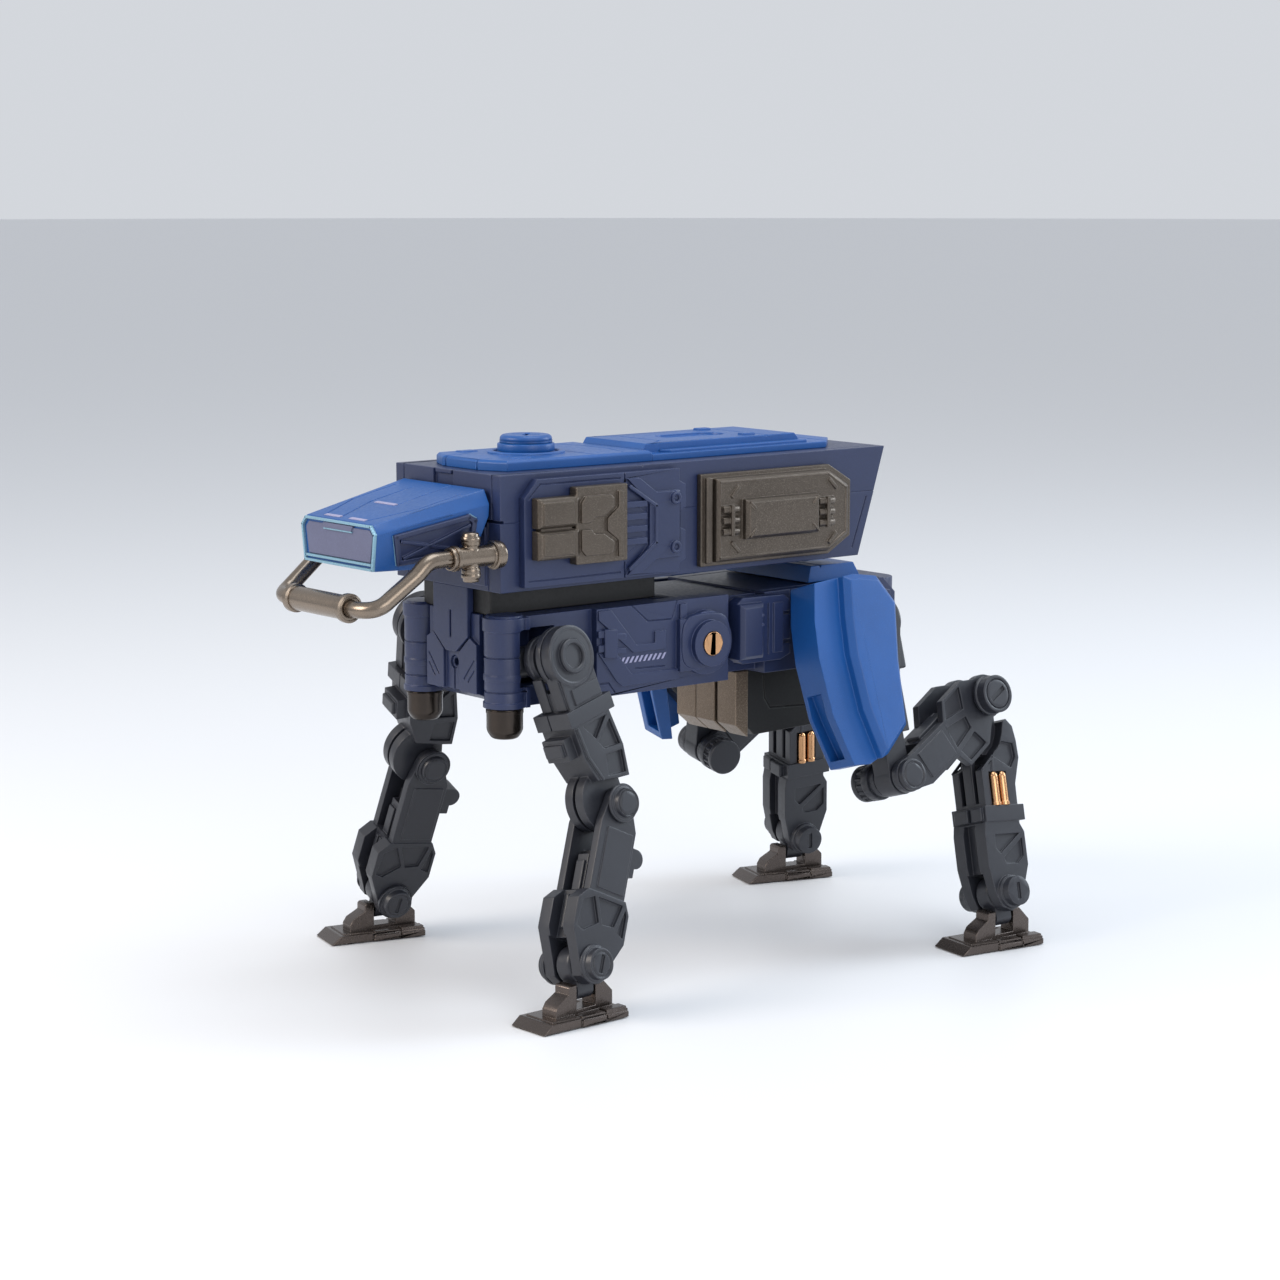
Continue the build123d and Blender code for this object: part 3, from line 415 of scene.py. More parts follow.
# ------------------------------------------------------------------ hull
upper_cuts = Shape()
upper_cuts.both(lambda s, side: s.line("x", [(side * 14.4, 103), (side * 14.4, 91)], 0.3, 56.1, 57))
upper_cuts.both(lambda s, side: s.line("z", [(-41, side * 14.9), (56, side * 14.9)], 0.3, 101.3, 102.4))
upper_cuts.both(lambda s, side: s.line("z", [(22, side * 14.9), (22, side * 18)], 0.3, 101.3, 102.4))
dress("hull_upper_shell", NAVY, cut=upper_cuts, bevel=0.14)
lower_cuts = Shape()
lower_cuts.both(lambda s, side: s.line("x", [(side * 13.2, 93.2), (side * 13.2, 79)], 0.3, 56.1, 57))
lower_cuts.both(lambda s, side: s.line("y", [(-33.4, 81.2), (-37.2, 91.4)], 0.3,
                                       *span(side, 16.8, 18)))
lower_adds = Shape().both(lambda s, side: s.prism(
    "x", [(side * 8.2, 80.4), (side * 12.6, 80.4), (side * 12.6, 91.6),
          (side * 6.2, 91.6)], 56.2, 56.8, 0.15))
dress("hull_lower_shell", NAVY, cut=lower_cuts, add=lower_adds, bevel=0.14)

plate_cuts = Shape()
for y in (-4.9, 5.3):
    plate_cuts.line("z", [(54, y), (50.0, y), (46.4, y * 1.25)], 0.34, 103.2, 105)
plate_cuts.line("x", [(-4.9, 101), (-4.9, 104)], 0.34, 52.8, 54)
plate_cuts.line("x", [(5.3, 101), (5.3, 104)], 0.34, 52.8, 54)
plate_cuts.line("z", [(29.6, -11), (29.6, 11)], 0.34, 103.4, 105)
plate_cuts.line("z", [(22, -11), (20, -4), (20, 4), (22, 11)], 0.34, 103.4, 105)
plate_adds = Shape().lathe("z", (37.5, 0), [(6.4, 103.5), (7.6, 103.5), (7.6, 104.0), (7.2, 104.2),
                                            (6.6, 104.2), (6.4, 104.0)])
plate_adds.both(lambda s, side: s.box((43.6, 47.4), (side * 8.6 - 1.2, side * 8.6 + 1.2), (103.4, 103.95),
                                      0.2))
dress("top_plate_front", ROYAL, cut=plate_cuts, add=plate_adds, bevel=0.15)
knob_adds = Shape().lathe("z", (37.5, 0), [(2.6, 107.0), (4.2, 107.0), (4.2, 107.12), (4.0, 107.24),
                                           (2.8, 107.24), (2.6, 107.12)])
knob_cuts = Shape().lathe("z", (37.5, 0), [(5.0, 105.9), (5.4, 105.9), (5.4, 106.15), (5.0, 106.15)])
dress("turret_knob", ROYAL, cut=knob_cuts, add=knob_adds, bevel=0.22)
rear_plate_cuts = Shape()
rear_plate_cuts.line("z", [(13.2, -9.2), (9.0, -6.2), (9.0, 6.2), (13.2, 9.2)], 0.34, 104.5, 106)
rear_plate_cuts.line("z", [(-16.5, -10), (-16.5, 10)], 0.34, 104.5, 106)
rear_plate_cuts.line("z", [(-31.4, -11), (-31.4, 11)], 0.34, 102.6, 104)
for y in (-2.6, 0.0, 2.6):
    rear_plate_cuts.line("z", [(-9.6, y), (1.8, y)], 0.5, 104.0, 106)
rear_plate_adds = Shape().both(lambda s, side: s.box(
    (-14.8, -11.6), (side * 7.0 - 1.0, side * 7.0 + 1.0), (104.6, 105.25), 0.2))
rear_plate_adds.both(lambda s, side: s.prism(
    "z", [(-27.2, side * 9.8), (12.0, side * 9.8), (10.4, side * 11.6),
          (-25.6, side * 11.6)], 102.8, 103.5, 0.2))
dress("top_plate_rear", ROYAL, cut=rear_plate_cuts, add=rear_plate_adds, bevel=0.15)


def dress_sponson(side, label):
    """Side plate with its vee frame and two bolt eyes."""
    cuts = Shape()
    cuts.line("y", [(51.0, 97.0), (48.4, 99.6), (29.0, 99.6)], 0.26, *span(side, 18.55, 19.4))
    cuts.line("y", [(51.0, 81.4), (29.0, 81.4)], 0.26, *span(side, 18.55, 19.4))
    cuts.line("y", [(27.9, 79.8), (27.9, 83.2)], 0.3, *span(side, 18.4, 19.4))
    cuts.line("y", [(27.9, 99.0), (27.9, 101)], 0.3, *span(side, 18.4, 19.4))
    adds = Shape()
    adds.line("y", [(27.2, 97.9), (20.8, 93.8), (20.8, 86.6), (27.2, 82.0)], 0.7, *span(side, 19.2, 19.9),
              0.16)
    adds.prism("y", [(27.4, 84.9), (27.4, 95.4), (22.3, 92.4), (22.3, 87.8)], *span(side, 18.5, 18.95), 0.1)
    for z in (95.0, 85.4):
        adds.ring("y", (15.9, z), 0.62, 1.25, *((19.3, 20.2) if side > 0 else (-19.3, -20.2)))
        adds.lathe("y", (15.9, z), [(0, side * 19.3), (0.42, side * 19.3), (0.34, side * 19.85),
                                    (0, side * 19.85)])
    dress("sponson_" + label, NAVY, cut=cuts, add=adds, bevel=0.1)


def dress_side_module(side, label):
    """Block with raised cells beside the front of the hull."""
    upper = [(40.6, 95.8), (39.6, 97.0), (33.4, 97.0), (32.7, 96.4), (32.7, 94.6), (35.2, 92.9), (37.4, 92.9),
             (38.2, 91.9), (40.6, 91.9)]
    adds = Shape()
    for points in (upper, [(x, 182.6 - z) for x, z in upper]):
        adds.prism("y", points, *span(side, 20.9, 21.75), 0.22)
    adds.prism("y", [(31.6, 97.6), (30.3, 97.6), (30.3, 84.9), (31.6, 84.9), (31.6, 88.1), (34.3, 90.1),
                     (34.3, 92.5), (31.6, 94.5)], *span(side, 20.9, 21.7), 0.2)
    adds.prism("y", [(49.6, 92.0), (49.6, 96.4), (42.2, 96.4), (42.2, 92.0)], *span(side, 21.2, 21.75), 0.3)
    adds.prism("y", [(49.6, 86.2), (49.6, 90.4), (42.2, 90.4), (42.2, 86.2)], *span(side, 21.2, 21.75), 0.3)
    dress("side_module_" + label, GUNMETAL, add=adds, bevel=0.25)


def dress_armour_box(side, label):
    """Long box with a blank plate, pills and pipes."""
    adds = Shape()
    rim = [(4.7, 97.2), (-24.0, 97.2), (-28.9, 94.1), (-28.9, 85.1), (-24.0, 82.2), (4.7, 82.2)]
    adds.line("y", rim, 0.35, *span(side, 19.9, 20.15), 0.08, closed=True)
    adds.prism("y", [(7.6, 98.3), (6.0, 98.3), (6.0, 81.2), (7.6, 81.2)], *span(side, 18.3, 19.3), 0.3)
    for x, z, turn in ((-2.4, 92.4, -1), (-19.2, 92.4, 1), (-2.4, 86.8, 1), (-19.2, 86.8, -1)):
        adds.line("y", [(x - 0.6, z + 0.6 * turn), (x + 0.6, z - 0.6 * turn)], 0.45,
                  *span(side, 21.5, 22.0), 0.12)
    for x in (2.4, -23.1):
        adds.box((x - 0.45, x + 0.45), span(side, 20.4, 21.35), (86.5, 92.7), 0.15)
    dress("armour_box_" + label, GUNMETAL, add=adds, bevel=0.2)


def dress_bull_bar_fitting(side, label):
    """Clamp that carries one end of the bull bar."""
    fitting_adds = Shape()
    y = side * 17.0
    fitting_adds.lathe("x", (y, 86.9), [(1.9, 57.5), (2.75, 57.5), (2.75, 58.2), (2.5, 58.5), (1.9, 58.5)])
    fitting_adds.lathe("x", (y, 86.9), [(1.7, 66.6), (2.4, 66.6), (2.4, 67.3), (1.7, 67.3)])
    for low, turn in ((84.6, -1), (89.2, 1)):
        fitting_adds.lathe("z", (63.2, y), [(0, low), (1.55, low), (1.55, low + 0.6 * turn),
                                            (1.85, low + 0.75 * turn),
                                            (1.85, low + 1.5 * turn), (1.55, low + 1.65 * turn),
                                            (1.55, low + 2.0 * turn), (1.4, low + 2.3 * turn),
                                            (0, low + 2.3 * turn)])
    dress("bull_bar_fitting_" + label, STEEL, add=fitting_adds, bevel=0.2)


for side, label in SIDES:
    dress_sponson(side, label)
    dress_side_module(side, label)
    dress_armour_box(side, label)
    dress_bull_bar_fitting(side, label)

dress("bull_bar_tube", STEEL, bevel=0.0)
roller_adds = Shape()
for y in (-8.9, 8.9):
    roller_adds.lathe("y", (85.2, 78.4), [(2.2, y - 0.7), (2.75, y - 0.5), (2.75, y + 0.5), (2.2, y + 0.7)])
dress("bull_bar_roller", STEEL, add=roller_adds, bevel=0.25)

# ------------------------------------------------------------------ lower body
chest_cuts = Shape()
chest_adds = Shape()
stripes = Shape()
for side in (1, -1):
    chest_cuts.line("y", [(25.6, 75), (20.8, 70.9), (14.7, 70.7), (13.1, 75)], 0.26, *span(side, 16.85, 18))
    chest_cuts.line("y", [(23.9, 61.8), (16.5, 61.6)], 0.26, *span(side, 16.85, 18))
    chest_cuts.line("y", [(33.4, 59.6), (30.6, 59.6), (29.0, 57.6)], 0.3, *span(side, 16.8, 18))
    chest_adds.prism("y", [(33.3, 74.0), (30.2, 74.0), (23.9, 66.6), (19.3, 66.5), (19.3, 68.8), (16.4, 68.8),
                           (16.4, 65.0), (24.6, 65.0), (33.3, 72.2)], *span(side, 17.0, 17.55), 0.16)
    chest_adds.prism("y", [(33.3, 65.7), (28.9, 59.9), (27.3, 58.6), (13.0, 58.6), (13.0, 60.8), (25.0, 60.9),
                           (28.4, 64.9)], *span(side, 17.0, 17.45), 0.14)
    chest_adds.prism("y", [(32.2, 70.4), (28.9, 70.1), (28.9, 64.4), (32.2, 64.8)], *span(side, 17.0, 18.0),
                     0.22)
    for z in (69.4, 66.6):
        chest_adds.prism("y", [(33.5, z + 0.7), (32.0, z + 0.7), (32.0, z - 0.7), (33.5, z - 0.7)],
                         *span(side, 17.0, 17.7), 0.16)
        chest_adds.prism("y", [(28.9, z - 0.2), (26.6, z - 0.4), (26.6, z - 1.5), (28.9, z - 1.4)],
                         *span(side, 17.0, 17.6), 0.14)
    chest_adds.prism("y", [(13.0, 73.6), (11.2, 73.6), (11.2, 70.6), (13.0, 70.2)], *span(side, 17.0, 17.7),
                     0.2)
    squircle = []
    for step in range(40):
        turn = 2 * math.pi * step / 40
        c, s = math.cos(turn), math.sin(turn)
        grow = 1 / (abs(c) ** 3.4 + abs(s) ** 3.4) ** (1 / 3.4)
        squircle.append((7.2 + 6.3 * c * grow, 65.9 + 5.6 * s * grow))
    chest_adds.prism("y", squircle, *span(side, 17.0, 18.9), 0.6)
    chest_adds.lathe("y", (6.6, 65.4), [(2.5, side * 18.4), (4.1, side * 18.4), (3.8, side * 19.5),
                                        (3.4, side * 19.9), (2.8, side * 19.9), (2.5, side * 19.7)])
    for index in range(11):
        x = 28.2 - 1.15 * index
        stripes.prism("y", [(x, 64.3), (x - 0.55, 64.3), (x + 0.25, 63.1), (x + 0.8, 63.1)],
                      *span(side, 17.0, 17.18))
    # corner cylinder rings and shoulder cap
    for z in (60.0, 66.6):
        chest_cuts.lathe("z", (52.8, side * 13.2), [(3.6, z), (4.6, z), (4.6, z + 0.28), (3.6, z + 0.28)])
    chest_adds.lathe("z", (52.8, side * 13.2), [(3.0, 73.9), (3.9, 73.9), (3.4, 74.7), (0, 74.9), (0, 73.9)])
    chest_adds.lathe("z", (52.8, side * 13.2), [(3.6, 57.0), (4.15, 57.0), (4.15, 58.0), (3.6, 58.2)])
    chest_cuts.line("x", [(side * 7.4, 65.3), (side * 4.2, 61.5)], 0.36, 55.5, 57)
    chest_cuts.line("x", [(side * 7.4, 63.3), (side * 5.5, 61.1)], 0.36, 55.5, 57)
chest_cuts.line("x", [(0, 62.7), (0, 57)], 0.45, 54.6, 56)
chest_adds.ring("x", (0, 64.2), 0.75, 1.25, 53.4, 54.6)
dress("chest_block", NAVY, cut=chest_cuts, add=chest_adds, bevel=0.12)
trim("flank_stripes", stripes, "chassis", LAVENDER)
breast_cuts = Shape().line("x", [(0, 74.2), (0, 69.4)], 0.55, 55.4, 57)
dress("breast_plate", NAVY, cut=breast_cuts, bevel=0.18)
dress("neck_column", INNER, bevel=0.3)
dress("waist_axle", COPPER, bevel=0.18)
for label, y in (("left", 13.2), ("right", -13.2)):
    cap = Shape().lathe("z", (52.8, y), [(3.3, 55.9), (3.62, 55.9), (3.62, 56.5), (3.3, 56.6)])
    dress("piston_" + label, DARK_METAL, add=cap, bevel=0.5, segments=3)

rear_cuts = Shape()
rear_adds = Shape()
for side in (1, -1):
    rear_cuts.line("y", [(-18.0, 73.8), (-18.0, 66.0), (-20.6, 63.0), (-20.6, 57)], 0.3,
                   *span(side, 15.1, 16))
    rear_cuts.line("z", [(-12, side * 12.8), (-44, side * 12.8)], 0.3, 73.3, 74.4)
    rear_adds.prism("y", [(-16.2, 72.6), (-11.6, 72.6), (-11.6, 70.4), (-16.2, 70.4)],
                    *span(side, 15.3, 15.9), 0.2)
    rear_adds.prism("y", [(-40.2, 72.4), (-45.6, 71.2), (-45.6, 61.2), (-40.2, 59.4)],
                    *span(side, 15.3, 16.0), 0.25)
rear_cuts.line("z", [(-42.6, -15), (-42.6, 15)], 0.3, 73.2, 74.4)
rear_cuts.line("x", [(-9, 72), (-9, 58)], 0.35, -48, -47.1)
rear_cuts.line("x", [(9, 72), (9, 58)], 0.35, -48, -47.1)
rear_adds.box((-48.0, -47.2), (-7.4, 7.4), (61.0, 66.2), 0.25)
for y in (-4.6, -1.6, 1.4, 4.4):
    rear_adds.box((-48.4, -47.6), (y - 0.9, y + 0.9), (61.8, 65.4), 0.2)
dress("rear_block", NAVY, cut=rear_cuts, add=rear_adds, bevel=0.14)
saddle_cuts = Shape().line("z", [(-28.4, -14), (-28.4, 14)], 0.34, 76.9, 78)
saddle_cuts.line("z", [(-36, -6), (-30, -6), (-30, 6), (-36, 6)], 0.34, 76.9, 78, closed=True)
dress("rear_saddle", ROYAL, cut=saddle_cuts, bevel=0.15)
for side, label in SIDES:
    cuts = Shape().line("y", [(-9.6, 71.6), (-9.6, 61.6)], 0.34, *span(side, 17.8, 19))
    for z in (69.4, 63.6):
        cuts.line("y", [(-14.0, z), (-16.5, z)], 0.8, *span(side, 17.6, 19))
    adds = Shape()
    for z in (69.8, 67.9):
        adds.lathe("y", (-6.9, z), [(0, side * 19.7), (0.32, side * 19.7), (0.25, side * 19.98),
                                    (0, side * 19.98)])
    adds.prism("y", [(-10.8, 71.8), (-13.4, 71.8), (-13.4, 61.6), (-10.8, 61.6)], *span(side, 18.0, 18.6),
               0.2)
    dress("waist_arm_" + label, NAVY, cut=cuts, add=adds, bevel=0.16)
belly_cuts = Shape()
for side in (1, -1):
    belly_cuts.line("y", [(-16.3, 57), (-16.8, 50.5), (-18.4, 48.2), (-30.0, 47.6)], 0.3,
                    *span(side, 8.7, 10))
dress("belly_box", INNER, cut=belly_cuts, bevel=0.14)
dress("belly_plates", BRONZE, bevel=0.18)


# ------------------------------------------------------------------ legs
def link(leg, upper, lower):
    """Frame of a leg link: origin at its upper joint, -Z towards its lower joint, +Y outward."""
    start = 1000 * Vector(JOINTS[leg + "_" + upper]["pos_m"])
    end = 1000 * Vector(JOINTS[leg + "_" + lower]["pos_m"])
    across = -Vector(JOINTS[leg + "_" + upper]["axis"])
    up = (start - end).normalized()
    ahead = across.cross(up)
    if leg.endswith("right"):
        across = -across
    place = Matrix((ahead, across, up)).transposed().to_4x4()
    place.translation = start
    return place


def twice(shape, axis, outlines, near, far):
    """The same pockets on the outer and on the inner face of a link."""
    for outline in outlines:
        shape.prism(axis, outline, near, far)
        shape.prism(axis, outline, -far, -near)
    return shape


def dress_upper_arm(leg):
    """Front leg from the shoulder disc to the knee."""
    arm = link(leg, "shoulder_swing", "knee_bend")
    cuts = Shape()
    pockets = [[(2.9, -13.3), (-3.6, -13.3), (0.6, -16.6)],
               [(-4.3, -14.2), (-4.9, -19.6), (-0.6, -19.0), (0.4, -17.3)],
               [(-0.5, -20.2), (-4.9, -20.8), (-4.1, -25.1), (0.6, -24.0)]]
    twice(cuts, "y", pockets, 3.7, 5.2)
    cuts.line("x", [(-0.8, -3), (-0.8, -13)], 0.3, 5.8, 7)
    cuts.lathe("y", (0, 0), [(5.2, 1.9), (6.4, 1.9), (6.4, 2.2), (5.2, 2.2)])
    adds = Shape().ring("y", (0, 0), 2.3, 3.35, 4.4, 5.25)
    adds.ring("y", (0, 0), 4.9, 5.75, 4.2, 4.5)
    adds.prism("y", [(-4.2, -5.9), (3.0, -5.9), (3.0, -9.0), (-4.2, -9.0)], 4.2, 4.6, 0.14)
    adds.box((4.3, 5.1), (-2.9, -0.4), (-9.2, -2.6), 0.2)
    adds.box((4.3, 5.1), (0.9, 3.7), (-9.2, -2.6), 0.2)
    adds.box((7.2, 8.4), (-2.4, 2.4), (-17.4, -14.8), 0.3)
    adds.line("y", [(4.6, -13.4), (4.2, -19.0), (2.4, -24.0)], 0.6, 4.2, 4.75, 0.14)
    dress(leg + "_upper_arm", CHARCOAL, cut=cuts, add=adds, place=arm, bevel=0.13)


def dress_forearm(leg):
    """Front leg from the knee to the ankle."""
    shin = link(leg, "knee_bend", "ankle_pitch")
    cuts = Shape()
    pockets = [[(5.4, -20.4), (2.6, -19.0), (0.5, -23.6), (4.2, -26.0), (5.9, -25.4)],
               [(1.7, -18.9), (-4.9, -18.9), (-3.5, -23.5), (-0.4, -23.8)],
               [(-5.7, -19.6), (-6.2, -20.6), (-6.2, -25.0), (-4.4, -24.3)]]
    twice(cuts, "y", pockets, 4.25, 5.4)
    cuts.box((4.2, 8.5), (-1.9, 1.9), (-28.0, -16.0))
    adds = Shape()
    for near, far in ((4.4, 4.9), (-4.9, -4.4)):
        adds.prism("y", [(2.4, -5.2), (-4.4, -5.2), (-4.6, -17.2), (2.4, -17.2)], near, far, 0.16)
    adds.box((2.6, 3.6), (-1.1, 1.1), (-19.0, -12.0), 0.2)
    adds.box((3.8, 4.8), (-1.1, -0.2), (-25.6, -19.0), 0.2)
    adds.box((3.8, 4.8), (0.2, 1.1), (-25.6, -19.0), 0.2)
    dress(leg + "_forearm", CHARCOAL, cut=cuts, add=adds, place=shin, bevel=0.13)


def dress_forearm_pins(leg):
    """Caps of the knee pin and the ankle pin."""
    shin = link(leg, "knee_bend", "ankle_pitch")
    cuts = Shape()
    adds = Shape()
    for z, face_y in ((0.0, 6.7), (-31.5, 7.2)):
        for side in (1, -1):
            cuts.lathe("y", (0, z), [(2.2, side * (face_y - 0.3)), (2.5, side * (face_y - 0.3)),
                                     (2.5, side * (face_y + 1)), (2.2, side * (face_y + 1))])
            adds.ring("y", (0, z), 2.9, 3.75, side * 5.0, side * 5.5)
    dress(leg + "_forearm_pins", CHARCOAL, cut=cuts, add=adds, place=shin, bevel=0.16)


def dress_thigh(leg):
    """Rear leg from the hip to the knee, with its armour."""
    thigh = link(leg, "hip_swing", "knee_bend")
    adds = Shape().line("y", [(11.6, 4.0), (13.2, -4.0), (12.2, -14.6), (6.2, -22.2)], 0.9, -5.0, -4.4, 0.2)
    adds.prism("y", [(9.0, 3.0), (10.4, -4.0), (9.4, -13.0), (5.0, -19.4), (0.4, -19.4), (-1.0, -8.0)],
               -4.9, -4.4, 0.25)
    adds.box((-5.2, -1.6), (-3.6, 3.6), (-10.4, -1.4), 0.4)
    adds.box((-3.4, -1.0), (-2.6, 2.6), (-17.0, -10.8), 0.4)
    adds.ring("y", (0, 0), 2.9, 4.6, -4.4, -5.0)
    dress(leg + "_thigh", CHARCOAL, add=adds, place=thigh, bevel=0.2)
    dress(leg + "_thigh_armour", ROYAL, place=thigh, bevel=0.2)


def dress_shank(leg):
    """Rear leg from the knee to the hock."""
    shank = link(leg, "knee_bend", "hock_bend")
    cuts = Shape()
    pockets = [[(-2.7, -15.8), (-5.5, -17.8), (-5.7, -23.3), (-1.6, -21.2)],
               [(-1.3, -14.7), (3.4, -14.4), (2.5, -20.3), (-0.1, -20.7)],
               [(4.5, -14.8), (7.5, -15.7), (7.2, -21.6), (3.6, -20.5)]]
    twice(cuts, "y", pockets, 3.9, 5.2)
    adds = Shape()
    for near, far in ((4.4, 4.9), (-4.9, -4.4)):
        adds.prism("y", [(4.0, -4.6), (-1.9, -4.6), (-1.9, -13.2), (4.0, -13.2)], near, far, 0.16)
    adds.box((4.4, 5.6), (-2.9, 2.9), (-13.2, -9.0), 0.3)
    adds.box((-3.4, -2.2), (-2.0, 2.0), (-17.6, -9.2), 0.3)
    dress(leg + "_shank", CHARCOAL, cut=cuts, add=adds, place=shank, bevel=0.13)


def dress_shank_pins(leg):
    """Caps of the knee and hock pins, with the toothed ring."""
    shank = link(leg, "knee_bend", "hock_bend")
    cuts = Shape().lathe("y", (0, 0), [(2.35, 5.7), (2.6, 5.7), (2.6, 7), (2.35, 7)])
    cuts.lathe("y", (0, -28.0), [(2.9, 8.05), (3.15, 8.05), (3.15, 9), (2.9, 9)])
    adds = Shape()
    for index in range(16):
        turn = 2 * math.pi * index / 16
        x, z = 3.5 * math.cos(turn), 3.5 * math.sin(turn)
        adds.box((x - 0.3, x + 0.3), (-8.2, -6.6), (z - 0.3, z + 0.3), 0.1)
    adds.ring("y", (0, -28.0), 3.5, 4.15, 5.5, 6.2)
    adds.ring("y", (0, -28.0), 3.5, 4.15, -5.5, -6.2)
    adds.box((-3.9, -2.6), (-8.8, 8.2), (-28.3, -27.7), 0.1)
    dress(leg + "_shank_pins", CHARCOAL, cut=cuts, add=adds, place=shank, bevel=0.16)


def dress_metatarsus(leg):
    """Rear leg from the hock to the ankle."""
    meta = link(leg, "hock_bend", "ankle_pitch")
    cuts = Shape()
    pockets = [[(0.1, -12.4), (-2.9, -9.4), (-6.0, -10.0), (-6.3, -12.8), (-4.7, -15.0)]]
    twice(cuts, "y", pockets, 3.9, 5.2)
    pockets = [[(2.3, -28.7), (-4.5, -28.7), (1.2, -32.6), (2.4, -31.4)],
               [(-5.1, -29.6), (0.5, -33.5), (-0.1, -34.8), (-3.3, -34.8), (-5.1, -33.4)]]
    twice(cuts, "y", pockets, 4.3, 5.6)
    cuts.box((3.4, 8.0), (-1.8, 1.8), (-38.0, -26.4))
    adds = Shape()
    for near, far in ((4.4, 4.85), (-4.85, -4.4)):
        adds.line("y", [(0.4, -12.6), (3.2, -15.0)], 0.6, near, far, 0.12)
        adds.line("y", [(0.4, -12.6), (0.6, -15.4)], 0.6, near, far, 0.12)
    adds.box((4.2, 5.6), (-3.4, 0.6), (-25.8, -23.0), 0.25)
    adds.box((4.2, 5.2), (1.4, 4.4), (-25.8, -23.0), 0.25)
    adds.box((2.2, 3.6), (-1.4, 1.4), (-22.6, -12.6), 0.3)
    adds.box((-6.6, -5.6), (-1.2, 1.2), (-38.0, -27.0), 0.3)
    dress(leg + "_metatarsus", CHARCOAL, cut=cuts, add=adds, place=meta, bevel=0.13)


def dress_gas_rods(leg):
    """Four small copper cylinders beside the metatarsus."""
    meta = link(leg, "hock_bend", "ankle_pitch")
    rods = Shape()
    for side in (1, -1):
        for u in (-1.8, 0.5):
            rods.lathe("z", (u, side * 4.45), [(0, -22.7), (1.1, -22.7), (1.1, -22.1), (0.95, -21.9),
                                              (0.95, -16.8), (0.84, -16.2), (0.52, -15.8), (0, -15.7)])
    bullets = trim(leg + "_gas_rods_look", rods, leg + "_metatarsus_body", COPPER, meta)
    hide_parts(leg + "_gas_rods")


def dress_splay_knuckle(leg):
    """Knuckle inside the body, with the drum behind a front shoulder."""
    if leg.startswith("front"):
        arm = link(leg, "shoulder_swing", "knee_bend")
        drum = Shape().lathe("y", (0, 0), [(2.5, -4.8), (3.8, -4.8), (4.4, -4.3), (4.5, -3.6), (4.5, -1.5),
                                           (2.5, -1.5)])
        drum.ring("y", (0, 0), 4.2, 4.65, -3.0, -2.6)
        dress(leg + "_splay_knuckle", CHARCOAL, add=drum, place=arm, bevel=0.2)
    else:
        dress(leg + "_splay_knuckle", CHARCOAL, bevel=0.2)


def dress_foot(leg):
    """Flat sole with its raised bracket."""
    roll = 1000 * Vector(JOINTS[leg + "_ankle_roll"]["pos_m"])
    heading = Vector(JOINTS[leg + "_ankle_roll"]["axis"]) * (1 if leg.endswith("left") else -1)
    foot = Matrix.Translation((roll.x, roll.y, 0)) @ Matrix.Rotation(math.atan2(heading.y, heading.x), 4, "Z")
    plate = foot @ Matrix.Rotation(math.radians(SOLE_TURN[leg]), 4, "Z")
    cuts = Shape()
    for x in (3.4, -2.6):
        cuts.both(lambda s, side: s.box((x - 0.14, x + 0.14), (side * 5.3 - 0.6, side * 5.3 + 0.6),
                                        (0.3, 1.5)))
    adds = Shape().both(lambda s, side: s.box((-7.7, -2.8), (side * 3.5 - 1.2, side * 3.5 + 1.2),
                                              (1.4, 2.15), 0.2))
    adds.both(lambda s, side: s.box((-2.4, 3.2), (side * 3.5 - 1.2, side * 3.5 + 1.2), (1.4, 1.95), 0.15))
    adds.prism("z", [(3.4, -4.4), (9.8, -3.9), (9.8, 3.9), (3.4, 4.4)], 1.4, 1.92, 0.12)
    dress(leg + "_foot", SOLE, cut=cuts, add=adds, place=plate, bevel=0.18)


for leg in LEGS:
    if leg.startswith("front"):
        dress_upper_arm(leg)
        dress_forearm(leg)
        dress_forearm_pins(leg)
    else:
        dress_thigh(leg)
        dress_shank(leg)
        dress_shank_pins(leg)
        dress_metatarsus(leg)
        dress_gas_rods(leg)
    dress_splay_knuckle(leg)
    dress(leg + "_ankle_knuckle", CHARCOAL, bevel=0.2)
    dress_foot(leg)

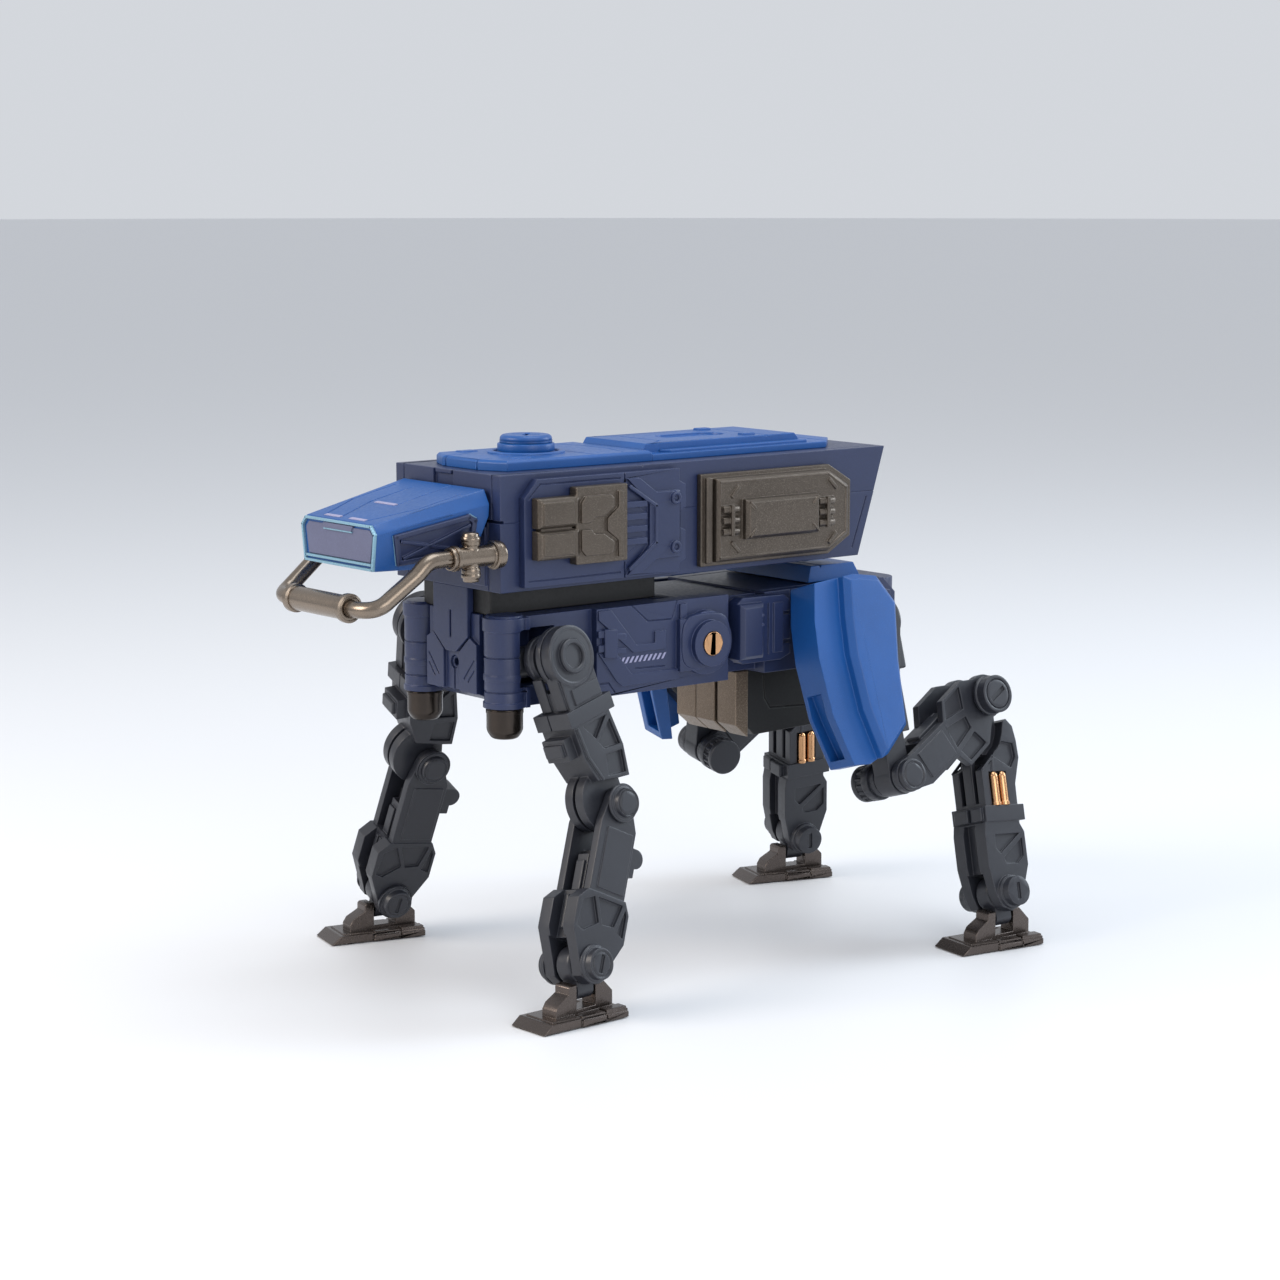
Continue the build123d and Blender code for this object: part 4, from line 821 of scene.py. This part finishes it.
# ------------------------------------------------------------------ stage, camera and light
floor_mesh = bpy.data.meshes.new("floor")
floor_bm = bmesh.new()
bmesh.ops.create_circle(floor_bm, cap_ends=True, radius=8, segments=96)
floor_bm.to_mesh(floor_mesh)
floor = bpy.data.objects.new("floor", floor_mesh)
floor.location = (0, 0, -0.0002)
bpy.context.scene.collection.objects.link(floor)
pale = bpy.data.materials.new("pale_floor")
pale.use_nodes = True
pale.node_tree.nodes["Principled BSDF"].inputs["Base Color"].default_value = (0.74, 0.75, 0.77, 1)
pale.node_tree.nodes["Principled BSDF"].inputs["Roughness"].default_value = 0.5
floor_mesh.materials.append(pale)

world = bpy.data.worlds.new("studio")
world.use_nodes = True
world.node_tree.nodes["Background"].inputs["Color"].default_value = (0.82, 0.85, 0.9, 1)
world.node_tree.nodes["Background"].inputs["Strength"].default_value = 0.8
bpy.context.scene.world = world


def softbox(name, place, target, width, height, power, colour):
    lamp = bpy.data.lights.new(name, "AREA")
    lamp.shape = "RECTANGLE"
    lamp.size = width
    lamp.size_y = height
    lamp.energy = power
    lamp.color = colour
    box = bpy.data.objects.new(name, lamp)
    box.location = place
    box.rotation_euler = (Vector(target) - Vector(place)).to_track_quat("-Z", "Y").to_euler()
    bpy.context.scene.collection.objects.link(box)


softbox("key", (0.62, -0.2, 0.42), (0.03, 0, 0.06), 0.4, 0.3, 3.4, (1.0, 0.9, 0.8))
softbox("top", (-0.1, 0.1, 0.8), (0, 0, 0.05), 0.6, 0.5, 3.0, (0.9, 0.95, 1.0))
softbox("side", (0.15, 0.8, 0.3), (0, 0, 0.06), 0.5, 0.4, 1.7, (1.0, 0.97, 0.94))
softbox("rim", (-0.7, 0.3, 0.35), (-0.02, 0, 0.06), 0.3, 0.4, 2.6, (0.8, 0.9, 1.0))

camera_data = bpy.data.cameras.new("camera")
camera_data.sensor_width = 36
camera_data.lens = 86.48
camera = bpy.data.objects.new("camera", camera_data)
camera.location = HULL @ Vector((396, 478, 160)) * MM
azimuth = math.radians(51)
pitch = math.radians(8.88)
aim = Vector((-math.cos(azimuth) * math.cos(pitch), -math.sin(azimuth) * math.cos(pitch), -math.sin(pitch)))
camera.rotation_euler = aim.to_track_quat("-Z", "Y").to_euler()
bpy.context.scene.collection.objects.link(camera)
bpy.context.scene.camera = camera
bpy.context.scene.view_settings.view_transform = "Standard"
